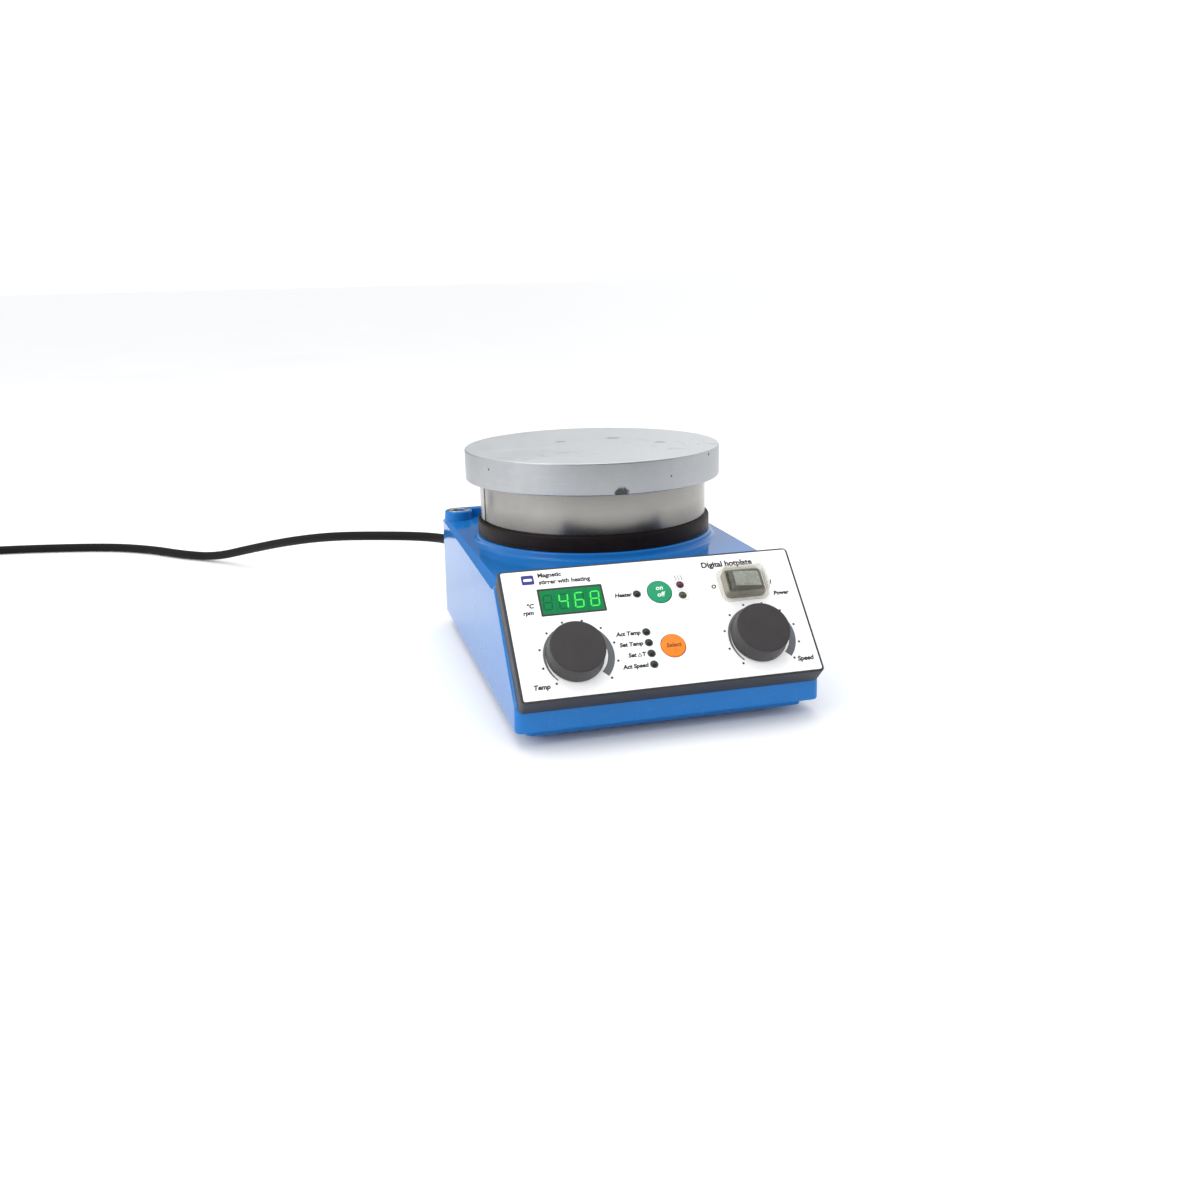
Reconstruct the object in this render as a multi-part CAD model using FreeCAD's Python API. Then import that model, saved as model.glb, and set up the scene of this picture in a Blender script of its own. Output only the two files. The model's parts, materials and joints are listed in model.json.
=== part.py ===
import FreeCAD, Part
import math
import os

# Magnetic hotplate stirrer, in millimetres.
# +Z is up, the control panel faces -Y, and the origin is under the middle of the stirrer, at the
# surface that it stands on. The mains lead lies behind it and to its left.

# ---- Housing -----------------------------------------------------------------------------
housing_width = 155.0         # across the bottom edge of the side walls
housing_depth = 230.0         # front lip to back wall
housing_bottom_z = 15.0
housing_top_z = 69.0
housing_wall = 3.0
side_draft = 0.8              # each side wall leans in by this much from bottom to top
corner_radius = 4.0
lip_height = 4.7              # upright lip below the slanted front
flange_height = 3.0           # inward flange round the housing's bottom edge
side_bevel_rear = 1.5         # bevel along the top side edges, at the back
side_bevel_front = 4.2        # the same bevel where it runs out on the slanted front
rear_overhang = 3.0           # how far the fittings stand out of the back wall

# ---- Base pan and feet -------------------------------------------------------------------
pan_inset = 6.5               # step between the housing's outline and the pan's outline
pan_clearance = 0.15
pan_wall = 2.5
pan_floor = 4.0
pan_rise = 4.0                # how far the pan's wall stands up inside the housing
foot_height = 4.0
foot_radius = 7.0
foot_stem_radius = 2.5
foot_from_side = 13.0         # from the pan's outline to a foot's centre
foot_from_end = 30.0
base_screw_from_side = 9.0
base_screw_from_end = 13.0
base_post_radius = 4.5
vent_count = 8
vent_width = 3.0
vent_length = 22.0
vent_pitch = 8.0

# ---- Slanted panel -----------------------------------------------------------------------
panel_tilt = 45.6             # degrees from the horizontal
panel_side_gap = 1.5          # housing's side to the bezel's side
panel_drop = 1.5              # bezel's lower edge past the top of the lip, along the slant
panel_rise = 1.0              # bezel's upper edge past the housing's top, along the slant
bezel_depth = 10.6
bezel_wall = 2.5
bezel_corner = 3.0
bezel_edge = 0.7
label_thickness = 0.4
label_margin = 0.9
window_margin = 9.5           # bezel's side to the opening in the housing under it
control_from_side = 29.5      # bezel's side to the column of each knob
lower_row_v = 22.0            # height of the knobs' row above the bezel's lower edge
upper_row_from_top = 19.4     # height of the upper row below the bezel's upper edge
key_u = 2.6
key_radius = 6.1
key_gap = 0.35
key_proud = 0.7
key_flange = 1.0
key_travel = 0.8
key_edge = 0.4
key_flange_width = 1.0        # flange outside the cap
key_idle_gap = 0.4            # left under the stem when the key is pressed right down
key_stem_radius = 2.0
push_switch_height = 1.3
push_case_half = 3.0
push_case_height = 1.0
push_pin_radius = 1.6
status_led_u = -9.1
alarm_led_u = 14.0
alarm_led_step = 3.0
status_led_pitch = 5.87
status_led_count = 4
led_radius = 1.6
led_gap = 0.25
led_proud = 0.3
display_u = -42.1
display_width = 32.5
display_height = 15.0
display_digits = 4
display_clearance = 0.1
display_thickness = 2.0
board_thickness = 1.6
board_w = 1.2                 # underside of the control board above the slanted wall
board_margin = 6.5
board_cutout_gap = 0.5        # round the power switch's case
board_post_radius = 3.0
board_post_inset = 12.0
controller_width = 14.0
controller_from_middle = 32.0
driver_width = 18.0
driver_from_middle = 8.0
driver_depth = 8.0
chip_height = 1.8
ribbon_width = 30.0
ribbon_from_middle = 24.0
ribbon_from_edge = 4.0
ribbon_depth = 6.0
ribbon_height = 7.0

# ---- Knobs and potentiometers ------------------------------------------------------------
knob_base_radius = 14.2
knob_face_radius = 13.5
knob_height = 9.5
knob_gap = 0.7
knob_edge = 0.6
knob_wall = 2.2
knob_hub_radius = 5.5
knob_hub_recess = 0.6         # hub's foot above the knob's foot
shaft_radius = 3.0
shaft_clearance = 0.05
shaft_hole_gap = 0.6
bushing_radius = 4.2
bushing_length = 3.4
pot_radius = 8.2
pot_depth = 9.0
pot_floor = 1.5
shaft_end_gap = 0.3
pot_nut_radius = 6.4          # over the corners
pot_nut_height = 2.0
hexagon = 6

# ---- Power switch ------------------------------------------------------------------------
switch_flange_width = 21.0
switch_flange_height = 15.0
switch_flange_depth = 3.2
switch_flange_corner = 2.6
switch_flange_bevel = 1.1
switch_body_width = 19.2
switch_body_height = 12.9
switch_body_depth = 19.0      # behind the flange
switch_wall = 0.7
switch_cutout_gap = 0.1
switch_hollow_depth = 6.0     # below the rocker's pivot
blade_width = 4.8
blade_thickness = 0.8
blade_length = 7.0
blade_pitch_u = 10.0
blade_pitch_v = 6.0
rocker_half_width = 8.1
rocker_half_height = 4.9
rocker_rise = 3.0             # rocker's top above the flange, level
rocker_side_gap = 0.5
rocker_lift = 0.3             # rocker's shoulder above the flange, level
rocker_edge = 0.6
rocker_heel = 2.2
rocker_pivot_drop = 3.0       # pivot below the front of the flange
rocker_angle = 7.0            # degrees each way from level
rocker_pin_radius = 1.2
rocker_pin_reach = 1.0        # pins beyond the rocker's sides
pin_end_gap = 0.2
boot_width = 25.4
boot_height = 18.6
boot_foot = 1.4
boot_wall = 0.8
boot_taper = 0.8
boot_headroom = 1.25          # over the level rocker's top
boot_gap = 0.6                # round the foot of the switch's flange
boot_foot_corner = 4.0
boot_corner = 3.4
boot_edge = 0.7

# ---- Heating head ------------------------------------------------------------------------
plate_radius = 72.5
plate_top_z = 122.0
plate_thickness = 17.0
plate_face_thickness = 8.0
plate_edge = 0.8
plate_overhang = 8.0          # plate's rim outside the skirt
skirt_wall = 0.8
skirt_flange = 2.4
seam_width_deg = 30.0
seam_at_deg = 185.5
seam_thickness = 0.4
ring_thickness = 2.25
ring_height = 9.0
collar_lip = 1.25             # collar's rim outside the seal ring
collar_height = 4.5
collar_width = 8.0
collar_from_back = 18.5       # back wall to the collar
recess_margin = 2.5           # plate's recess inside the skirt's outline
element_thickness = 3.0
clamp_thickness = 1.5
insulation_thickness = 8.5
shield_thickness = 1.4
head_gap = 2.0                # between the recess and the stack inside it
head_screw_radius = 2.5
head_screw_from_rim = 12.5    # inside the skirt's outline
post_radius = 5.0
plate_thread_depth = 5.0      # tapped holes in the plate, above its recess
plate_thread_grip = 4.5       # screw's length in them
element_hole_radius = 20.0
clamp_hole_radius = 15.0
insulation_hole_radius = 12.0
screw_clearance = 0.2
sensor_radius = 2.5
sensor_depth = 4.0
lead_radius = 1.0
lead_from_rim = 4.0           # inside the element's rim
lead_spacing = 6.0
lead_offset = 2.0             # lower leads in front of the upper ones
terminal_depth = 10.0
terminal_side = 7.0
terminal_front = 6.0
terminal_back = 3.0
seam_lift = 0.4
seam_drop = 0.6
seam_bite = 0.2
ring_foot_step = 0.5
ring_edge = 0.7
ring_top_step = 0.6

# ---- Drive -------------------------------------------------------------------------------
motor_shaft_radius = 3.0
motor_radius = 31.0
motor_height = 30.0
motor_wall = 2.0
motor_boss_radius = 12.0
motor_boss_height = 5.0
end_cap_thickness = 4.0
bearing_radius = 9.5
bearing_width = 6.0
bearing_clearance = 0.05
bearing_shoulder = 1.0        # can's lip over and under the upper bearing
bearing_wall = 1.5
shaft_opening = 2.0           # can's top round the shaft
lower_boss_height = 4.0
lower_boss_wall = 2.0
shaft_end_rise = 1.6          # shaft's lower end above the end cap's underside
shaft_well_gap = 1.0
end_cap_floor = 1.0
bracket_radius = 46.0
bracket_thickness = 3.0
bracket_screw_circle = 40.0
air_gap = 0.4
rotor_radius = 17.0
rotor_height = 14.0
core_rise = 8.5               # cores above the end cap
pole_slots = 6
pole_slot_radius = 2.2
pole_slot_depth = 4.0
winding_height = 4.0
winding_inset = 1.5
winding_bore_gap = 2.0
magnet_gap = 2.1              # magnets' top under the heat shield
magnet_length = 20.0
magnet_width = 24.0
magnet_height = 9.0
magnet_circle = 29.0
carrier_thickness = 3.0
carrier_hub_radius = 8.0
carrier_hub_height = 12.0
carrier_hub_rise = 2.0        # hub and shaft above the bar
carrier_corner = 4.0
carrier_margin = 2.0          # bar beyond the magnets' ends
magnet_inset = 1.0            # magnets inside the bar's sides

# ---- Rod socket at the rear left ---------------------------------------------------------
boss_radius = 8.5
boss_height = 5.5
boss_from_edge = 10.0
boss_depth = 9.0              # below the housing's top
socket_radius = 6.8
socket_bore_radius = 4.25
rail_width = 6.0

# ---- Power electronics -------------------------------------------------------------------
board_standoff = 6.0
power_board_width = 122.0
power_board_depth = 54.0
power_board_from_front = 48.0
standoff_from_edge = 5.0
standoff_radius = 3.5
transformer_from_side = 4.0
transformer_from_board = 11.0
transformer_width = 46.0
transformer_depth = 38.0
transformer_height = 32.0
transformer_foot = 4.0
core_limb = 8.0
core_yoke = 6.0
coil_corner = 4.0
coil_leg = 4.0
coil_leg_inset = 10.0
coil_leg_margin = 1.0
capacitor_count = 3
capacitor_pitch = 15.0
capacitor_x = 4.0
capacitor_from_board = 12.0
capacitor_radius = 6.5
capacitor_height = 22.0
relay_width = 28.0
relay_depth = 12.0
relay_height = 16.0
relay_x = -4.0
relay_from_board = 23.0
fin_count = 6
fin_thickness = 1.5
fin_height = 12.0
sink_width = 32.0
sink_from_side = 10.0
sink_height = 24.0
sink_from_back = 2.0
sink_plate = 3.0
sink_fin_foot = 4.0
triac_width = 10.0
triac_depth = 4.0
triac_low = 6.0
triac_high = 22.0

# ---- Rear fittings and mains lead --------------------------------------------------------
fitting_z = 41.0
gland_x = -62.0
gland_radius = 7.5
gland_thread_radius = 5.5
gland_length = 8.0
gland_edge = 1.6
gland_thread_length = 6.0
gland_nut_height = 4.0
relief_length = 24.0
relief_base_radius = 5.6
relief_tip_radius = 4.2
socket_x = 20.0
sensor_socket_radius = 8.0
sensor_flange_radius = 9.8
sensor_pin_radius = 0.8
sensor_socket_depth = 11.0    # behind the wall
sensor_pin_count = 5
sensor_pin_circle = 4.0
sensor_pin_angle = 45.0
sensor_pin_depth = 8.0
fuse_x = 48.0
fuse_radius = 6.0
fuse_flange_radius = 8.0
fuse_flange_depth = 1.2
fuse_holder_depth = 32.0
fuse_bore_depth = 28.0
fuse_wall = 1.5
fuse_stem_depth = 20.0
fuse_stem_gap = 0.1
fuse_slot_width = 1.2
fuse_slot_depth = 1.0
fuse_slot_half = 4.0
cord_diameter = 6.5
coil_turns = 5.25
coil_mean_radius = 35.75
coil_centre = (-475.0, 489.0)
plug_radius = 18.5
plug_body_length = 34.0
plug_relief_length = 22.0
pin_radius = 2.4
pin_length = 19.0
pin_spacing = 19.0

# The lead's route behind the strain relief, from its tip to the coil.
lead_route = [
    (-62.0, 150.415, 41.0),
    (-62.0, 172.0, 41.0),
    (-78.5, 199.0, 39.5),
    (-112.0, 219.0, 38.5),
    (-143.0, 245.0, 35.0),
    (-172.0, 277.0, 27.0),
    (-201.0, 314.0, 15.5),
    (-229.0, 347.0, 4.0),
    (-255.0, 367.0, 3.5),
    (-281.0, 396.0, 3.5),
    (-313.0, 418.0, 3.5),
    (-352.0, 430.0, 3.5),
    (-392.0, 439.0, 3.5),
    (-434.0, 444.0, 3.5),
    (-474.0, 444.3, 3.5),
]
# The rest of the lead, from the coil to the plug.
tail_route = [
    (-519.7, 489.0, 9.75),
    (-520.4, 509.0, 9.9),
    (-517.0, 532.0, 14.0),
    (-515.0, 552.0, 18.5),
    (-515.0, 570.0, 18.5),
]

# ---- Fastener proportions ----------------------------------------------------------------
head_to_shank = 1.75          # a screw head's radius over its shank's radius
head_height_ratio = 1.1       # a screw head's height over its shank's radius
small_screw_radius = 1.3
base_screw_radius = 2.0

# ---- Worked-out places -------------------------------------------------------------------
tilt = math.radians(panel_tilt)
sin_tilt = math.sin(tilt)
cos_tilt = math.cos(tilt)
half_width = housing_width / 2.0
half_width_top = half_width - side_draft
lip_top_z = housing_bottom_z + lip_height
slant_length = (housing_top_z - lip_top_z) / sin_tilt
panel_length = slant_length + panel_drop + panel_rise
panel_half = half_width - panel_side_gap
upper_row_v = panel_length - upper_row_from_top
control_u = panel_half - control_from_side
face_w = bezel_depth + label_thickness
knob_base_w = face_w + knob_gap
knob_face_w = knob_base_w + knob_height


def slant_reach(v, w):
    """Y distance of a panel point behind the lip's front."""
    return (v - panel_drop) * cos_tilt - w * sin_tilt


front_overhang = -slant_reach(lower_row_v - knob_face_radius + knob_edge, knob_face_w)
back_y = (housing_depth + front_overhang - rear_overhang) / 2.0
front_y = back_y - housing_depth

pan_half = half_width - pan_inset
pan_front_y = front_y + pan_inset
pan_back_y = back_y - pan_inset
pan_floor_top_z = foot_height + pan_floor

skirt_radius = plate_radius - plate_overhang
ring_radius = skirt_radius + ring_thickness
collar_radius = ring_radius + collar_lip
collar_top_z = housing_top_z + collar_height
plate_y = back_y - collar_from_back - collar_radius
plate_bottom_z = plate_top_z - plate_thickness
recess_top_z = plate_top_z - plate_face_thickness
recess_radius = skirt_radius - recess_margin
stack_radius = recess_radius - head_gap
element_z = recess_top_z - element_thickness
clamp_z = element_z - clamp_thickness
insulation_z = clamp_z - insulation_thickness
shield_z = insulation_z - shield_thickness
head_screw_circle = skirt_radius - head_screw_from_rim

ceiling_z = housing_top_z - housing_wall
bracket_z = ceiling_z - bracket_thickness
motor_bottom_z = bracket_z - motor_height
magnet_top_z = shield_z - magnet_gap
magnet_z = magnet_top_z - magnet_height
boss_x = -(half_width - boss_from_edge)
boss_y = back_y - boss_from_edge
boss_top_z = housing_top_z + boss_height
relief_tip_y = back_y + gland_length + relief_length
board_top_z = pan_floor_top_z + board_standoff + board_thickness
far = 400.0                   # larger than the whole stirrer, for cutting tools


# ---- Shape helpers -----------------------------------------------------------------------
def box(x0, x1, y0, y1, z0, z1):
    """Block between two corners."""
    return Part.makeBox(x1 - x0, y1 - y0, z1 - z0, FreeCAD.Vector(x0, y0, z0))


def cyl(x, y, z0, z1, radius):
    """Upright cylinder from z0 to z1."""
    return Part.makeCylinder(radius, z1 - z0, FreeCAD.Vector(x, y, z0))


def cyl_y(x, z, y0, y1, radius):
    """Cylinder along Y from y0 to y1."""
    return Part.makeCylinder(radius, y1 - y0, FreeCAD.Vector(x, y0, z), FreeCAD.Vector(0, 1, 0))


def cone_y(x, z, y0, y1, radius0, radius1):
    """Cone along Y from radius0 at y0 to radius1 at y1."""
    start = FreeCAD.Vector(x, y0, z)
    return Part.makeCone(radius0, radius1, y1 - y0, start, FreeCAD.Vector(0, 1, 0))


def upright_edges(shape):
    """Straight edges that run along Z."""
    found = []
    for edge in shape.Edges:
        ends = [vertex.Point for vertex in edge.Vertexes]
        if len(ends) == 2 and abs((ends[1] - ends[0]).z) > 0.999 * edge.Length:
            found.append(edge)
    return found


def rounded_box(x0, x1, y0, y1, z0, z1, radius):
    """Block with its four upright edges rounded."""
    block = box(x0, x1, y0, y1, z0, z1)
    return block.makeFillet(radius, upright_edges(block))


def rounded_wire(x0, x1, y0, y1, z, radius):
    """Outline of a rounded rectangle at height z."""
    block = rounded_box(x0, x1, y0, y1, z, z + 1.0, radius)
    lowest = min(block.Faces, key=lambda face: face.CenterOfMass.z)
    return lowest.OuterWire


def tapered_block(lower, upper, z0, z1, radius):
    """Block lofted from rectangle lower (half width, y0, y1) at z0 to rectangle upper at z1."""
    bottom = rounded_wire(-lower[0], lower[0], lower[1], lower[2], z0, radius)
    top = rounded_wire(-upper[0], upper[0], upper[1], upper[2], z1, radius)
    return Part.makeLoft([bottom, top], True, True)


def turned(profile, x=0.0, y=0.0):
    """Solid of revolution about the upright line through (x, y); profile holds (radius, z)."""
    points = [FreeCAD.Vector(radius, 0, z) for radius, z in profile]
    face = Part.Face(Part.makePolygon(points + [points[0]]))
    solid = face.revolve(FreeCAD.Vector(0, 0, 0), FreeCAD.Vector(0, 0, 1), 360)
    solid.translate(FreeCAD.Vector(x, y, 0))
    return solid


def on_circle(radius, degrees):
    """Point on a circle about the plate's axis."""
    angle = math.radians(degrees)
    return radius * math.cos(angle), plate_y + radius * math.sin(angle)


def on_panel(shape):
    """Shape moved from the panel's own frame to its place on the slanted front.

    In the panel's frame X runs along the bezel, Y up the slant from the bezel's lower edge and
    Z out of the panel from the housing's slanted wall.
    """
    lower_edge_y = front_y - panel_drop * cos_tilt
    lower_edge_z = lip_top_z - panel_drop * sin_tilt
    turn = FreeCAD.Rotation(FreeCAD.Vector(1, 0, 0), panel_tilt)
    place = FreeCAD.Placement(FreeCAD.Vector(0, lower_edge_y, lower_edge_z), turn)
    moved = shape.copy()
    moved.Placement = place.multiply(moved.Placement)
    return moved


def screw(x, y, z0, z1, radius):
    """Screw with its shank up from z0 to z1 and its head below z0."""
    shank = cyl(x, y, z0, z1, radius)
    head = cyl(x, y, z0 - radius * head_height_ratio, z0, radius * head_to_shank)
    return shank.fuse(head).removeSplitter()


def joined(shapes):
    """One solid from touching shapes."""
    return shapes[0].fuse(shapes[1:]).removeSplitter()


def save(name, shape):
    """Check a node's solids and write its STEP file."""
    if not shape.isValid() or not shape.Solids:
        raise ValueError("bad shape in " + name)
    shape.exportStep("parts/" + name + ".step")
    return shape


# ---- Housing -----------------------------------------------------------------------------
def base_screw_places():
    """Centres of the four screws through the pan's corners."""
    side = pan_half - base_screw_from_side
    front = pan_front_y + base_screw_from_end
    back = pan_back_y - base_screw_from_end
    return [(x, y) for x in (-side, side) for y in (front, back)]


def foot_places():
    """Centres of the four feet."""
    side = pan_half - foot_from_side
    front = pan_front_y + foot_from_end
    back = pan_back_y - foot_from_end
    return [(x, y) for x in (-side, side) for y in (front, back)]


def ahead_of_slant(offset):
    """Everything in front of the slanted wall's plane, moved out of it by offset."""
    return on_panel(box(-far, far, -far, far, offset, far))


def housing_block():
    """Housing's outer form before it is hollowed."""
    lower = (half_width, front_y, back_y)
    upper = (half_width_top, front_y, back_y)
    block = tapered_block(lower, upper, housing_bottom_z, housing_top_z, corner_radius)
    block = block.cut(ahead_of_slant(0.0))
    for side in (-1, 1):
        block = block.cut(side_bevel(side))
    return block


def side_bevel(side):
    """Wedge that bevels one top side edge, wider towards the front."""
    edge_x = half_width_top
    spare = 2.0
    slant_top_y = front_y + slant_length * cos_tilt
    wires = []
    for y, bevel in ((back_y + 1.0, side_bevel_rear), (slant_top_y, side_bevel_front)):
        corners = [
            FreeCAD.Vector(side * (edge_x - bevel - spare), y, housing_top_z + spare),
            FreeCAD.Vector(side * (edge_x + spare), y, housing_top_z - bevel - spare),
            FreeCAD.Vector(side * (edge_x + spare), y, housing_top_z + spare),
        ]
        wires.append(Part.makePolygon(corners + [corners[0]]))
    return Part.makeLoft(wires, True, True)


def housing_cavity():
    """Hollow inside the housing, above its bottom flange."""
    inside = half_width - housing_wall
    inside_top = half_width_top - housing_wall
    lower = (inside, front_y + housing_wall, back_y - housing_wall)
    upper = (inside_top, front_y + housing_wall, back_y - housing_wall)
    flange_top_z = housing_bottom_z + flange_height
    cavity = tapered_block(lower, upper, flange_top_z, ceiling_z, corner_radius - 1.0)
    cavity = cavity.cut(ahead_of_slant(-housing_wall))
    gap = pan_clearance
    mouth = rounded_box(-pan_half - gap, pan_half + gap, pan_front_y - gap, pan_back_y + gap,
                        housing_bottom_z - 1.0, flange_top_z + 1.0, corner_radius)
    return cavity.fuse(mouth)


def make_upper_housing():
    """Cast housing: side walls, slanted front, collar, rod boss and rear rail."""
    outer = housing_block()
    shell = outer.cut(housing_cavity())
    collar = cyl(0, plate_y, ceiling_z, collar_top_z, collar_radius)
    rim = [edge for edge in collar.Edges if abs(edge.BoundBox.ZMin - collar_top_z) < 0.001]
    collar = collar.makeFillet(1.0, rim)
    boss = cyl(boss_x, boss_y, housing_top_z - boss_depth, boss_top_z, boss_radius)
    rail_y = back_y - boss_from_edge + boss_radius - rail_width
    rail = rounded_box(boss_x, -boss_x, rail_y, rail_y + rail_width,
                       ceiling_z, boss_top_z, rail_width / 2.0 - 0.01)
    posts = []
    for x, y in base_screw_places():
        post = cyl(x, y, pan_floor_top_z, housing_top_z - 1.0, base_post_radius)
        posts.append(post.cut(ahead_of_slant(-1.0)))
    shell = shell.fuse([collar, boss, rail] + posts)
    return shell.cut(housing_openings()).removeSplitter()


def housing_openings():
    """Holes through the housing for the head, drive, panel, screws and rear fittings."""
    tools = [cyl(0, plate_y, housing_top_z, collar_top_z + 1.0, collar_radius - collar_width)]
    tools.append(cyl(0, plate_y, ceiling_z - 1.0, housing_top_z + 1.0, motor_radius))
    for x, y in head_screw_places():
        tools.append(cyl(x, y, ceiling_z - 1.0, housing_top_z + 1.0,
                         head_screw_radius + screw_clearance))
    for x, y in bracket_screw_places():
        tools.append(cyl(x, y, ceiling_z - 1.0, housing_top_z + 1.0, base_screw_radius))
    for x, y in heater_lead_places():
        tools.append(cyl(x, y, ceiling_z - 1.0, housing_top_z + 1.0, lead_radius + 0.5))
    for x, y in base_screw_places():
        tools.append(cyl(x, y, pan_floor_top_z - 1.0, pan_floor_top_z + 10.0, base_screw_radius))
    tools.append(cyl(boss_x, boss_y, housing_top_z - boss_depth - 1.0, boss_top_z + 1.0,
                     socket_radius))
    window = panel_half - window_margin
    tools.append(on_panel(box(-window, window, board_margin, panel_length - board_margin,
                              -housing_wall - 2.0, 2.0)))
    for u, v in bezel_screw_places():
        tools.append(on_panel(cyl(u, v, -housing_wall - 2.0, 2.0,
                                  small_screw_radius + screw_clearance)))
    for x, radius in ((gland_x, gland_thread_radius), (socket_x, sensor_socket_radius),
                      (fuse_x, fuse_radius)):
        tools.append(cyl_y(x, fitting_z, back_y - housing_wall - 1.0, back_y + 1.0, radius))
    return Part.makeCompound(tools)


def make_base_pan():
    """Tray under the housing, with feet, screws and vents."""
    top_z = housing_bottom_z + pan_rise
    outer = rounded_box(-pan_half, pan_half, pan_front_y, pan_back_y, foot_height, top_z,
                        corner_radius)
    inner = rounded_box(-pan_half + pan_wall, pan_half - pan_wall, pan_front_y + pan_wall,
                        pan_back_y - pan_wall, pan_floor_top_z, top_z + 1.0,
                        corner_radius - 1.5)
    tools = [inner]
    head_depth = base_screw_radius * head_height_ratio + 0.3
    for x, y in base_screw_places():
        tools.append(cyl(x, y, foot_height - 1.0, pan_floor_top_z + 1.0,
                         base_screw_radius + screw_clearance))
        tools.append(cyl(x, y, foot_height - 1.0, foot_height + head_depth,
                         base_screw_radius * head_to_shank + screw_clearance))
    for x, y in foot_places():
        tools.append(cyl(x, y, foot_height - 1.0, pan_floor_top_z + 1.0, foot_stem_radius))
    first = -vent_pitch * (vent_count - 1) / 2.0
    for index in range(vent_count):
        x = first + index * vent_pitch
        tools.append(rounded_box(x - vent_width / 2.0, x + vent_width / 2.0,
                                 plate_y - vent_length / 2.0, plate_y + vent_length / 2.0,
                                 foot_height - 1.0, pan_floor_top_z + 1.0,
                                 vent_width / 2.0 - 0.01))
    return outer.cut(Part.makeCompound(tools)).removeSplitter()


def make_feet():
    """Four rubber feet with stems through the pan's floor."""
    feet = []
    for x, y in foot_places():
        disc = cyl(x, y, 0.0, foot_height, foot_radius)
        lower = [edge for edge in disc.Edges if edge.BoundBox.ZMax < 0.001]
        disc = disc.makeFillet(0.8, lower)
        stem = cyl(x, y, foot_height, pan_floor_top_z + 1.0, foot_stem_radius)
        feet.append(joined([disc, stem]))
    return Part.makeCompound(feet)


def make_housing_screws():
    """Four screws through the pan into the housing's posts, and three through the bracket."""
    head_top_z = foot_height + base_screw_radius * head_height_ratio + 0.3
    screws = [screw(x, y, head_top_z, pan_floor_top_z + 9.0, base_screw_radius)
              for x, y in base_screw_places()]
    screws += [screw(x, y, bracket_z, housing_top_z, base_screw_radius)
               for x, y in bracket_screw_places()]
    return Part.makeCompound(screws)


def make_rod_socket():
    """Steel bush for a support rod, in the rear left boss."""
    bush = cyl(boss_x, boss_y, housing_top_z - boss_depth, boss_top_z + 0.2, socket_radius)
    bore = cyl(boss_x, boss_y, housing_top_z - boss_depth + 2.0, boss_top_z + 1.0,
               socket_bore_radius)
    return bush.cut(bore)


# ---- Control panel, modelled in the panel's frame ----------------------------------------
def bezel_screw_places():
    """Panel places of the screws that hold the bezel to the housing."""
    u = panel_half - bezel_wall - small_screw_radius - 1.7
    return [(side * u, v) for side in (-1, 1) for v in (lower_row_v, upper_row_v)]


def board_post_places():
    """Panel places of the bezel's posts under the control board."""
    u = panel_half - board_post_inset - 2.0
    return [(side * u, v) for side in (-1, 1)
            for v in (board_post_inset, panel_length - board_post_inset)]


def led_places():
    """Panel places of the seven indicators."""
    places = [(status_led_u, upper_row_v)]
    places.append((alarm_led_u, upper_row_v + alarm_led_step))
    places.append((alarm_led_u, upper_row_v - alarm_led_step))
    middle = (status_led_count - 1) / 2.0
    for index in range(status_led_count):
        places.append((status_led_u, lower_row_v + (middle - index) * status_led_pitch))
    return places


def key_places():
    """Panel places of the heater key and the select key."""
    return [(key_u, upper_row_v), (key_u, lower_row_v)]


def panel_openings(w0, w1, display_gap):
    """Tools that open the bezel and its label for everything that comes through them."""
    half_display = display_width / 2.0 + display_gap
    half_tall = display_height / 2.0 + display_gap
    tools = [box(display_u - half_display, display_u + half_display,
                 upper_row_v - half_tall, upper_row_v + half_tall, w0, w1)]
    for u, v in led_places():
        tools.append(cyl(u, v, w0, w1, led_radius + led_gap))
    for u, v in key_places():
        tools.append(cyl(u, v, w0, w1, key_radius + key_gap))
    for side in (-1, 1):
        tools.append(cyl(side * control_u, lower_row_v, w0, w1, shaft_radius + shaft_hole_gap))
    half_body = switch_body_width / 2.0 + switch_cutout_gap
    half_body_v = switch_body_height / 2.0 + switch_cutout_gap
    tools.append(box(control_u - half_body, control_u + half_body,
                     upper_row_v - half_body_v, upper_row_v + half_body_v, w0, w1))
    return Part.makeCompound(tools)


def make_front_bezel():
    """Black moulded slab, hollow behind, with posts for the board and its own screws."""
    slab = rounded_box(-panel_half, panel_half, 0, panel_length, 0, bezel_depth, bezel_corner)
    front = [edge for edge in slab.Edges if edge.BoundBox.ZMin > bezel_depth - 0.001]
    slab = slab.makeChamfer(bezel_edge, front)
    inner_w = bezel_depth - bezel_wall
    hollow = box(-panel_half + bezel_wall, panel_half - bezel_wall, bezel_wall,
                 panel_length - bezel_wall, -1.0, inner_w)
    slab = slab.cut(hollow)
    posts = [cyl(u, v, board_w + board_thickness, inner_w, board_post_radius)
             for u, v in board_post_places()]
    posts += [cyl(u, v, 0.0, inner_w, small_screw_radius + 1.6) for u, v in bezel_screw_places()]
    slab = slab.fuse(posts)
    tools = [panel_openings(inner_w - 1.0, bezel_depth + 1.0, display_clearance)]
    for u, v in board_post_places():
        tools.append(cyl(u, v, board_w, inner_w - 1.0, small_screw_radius))
    for u, v in bezel_screw_places():
        tools.append(cyl(u, v, -1.0, inner_w - 2.0, small_screw_radius))
    return slab.cut(Part.makeCompound(tools)).removeSplitter()


def make_panel_label():
    """Printed overlay on the bezel's face."""
    sheet = rounded_box(-panel_half + label_margin, panel_half - label_margin, label_margin,
                        panel_length - label_margin, bezel_depth, face_w,
                        bezel_corner - label_margin)
    return sheet.cut(panel_openings(bezel_depth - 1.0, face_w + 1.0, display_clearance))


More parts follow.
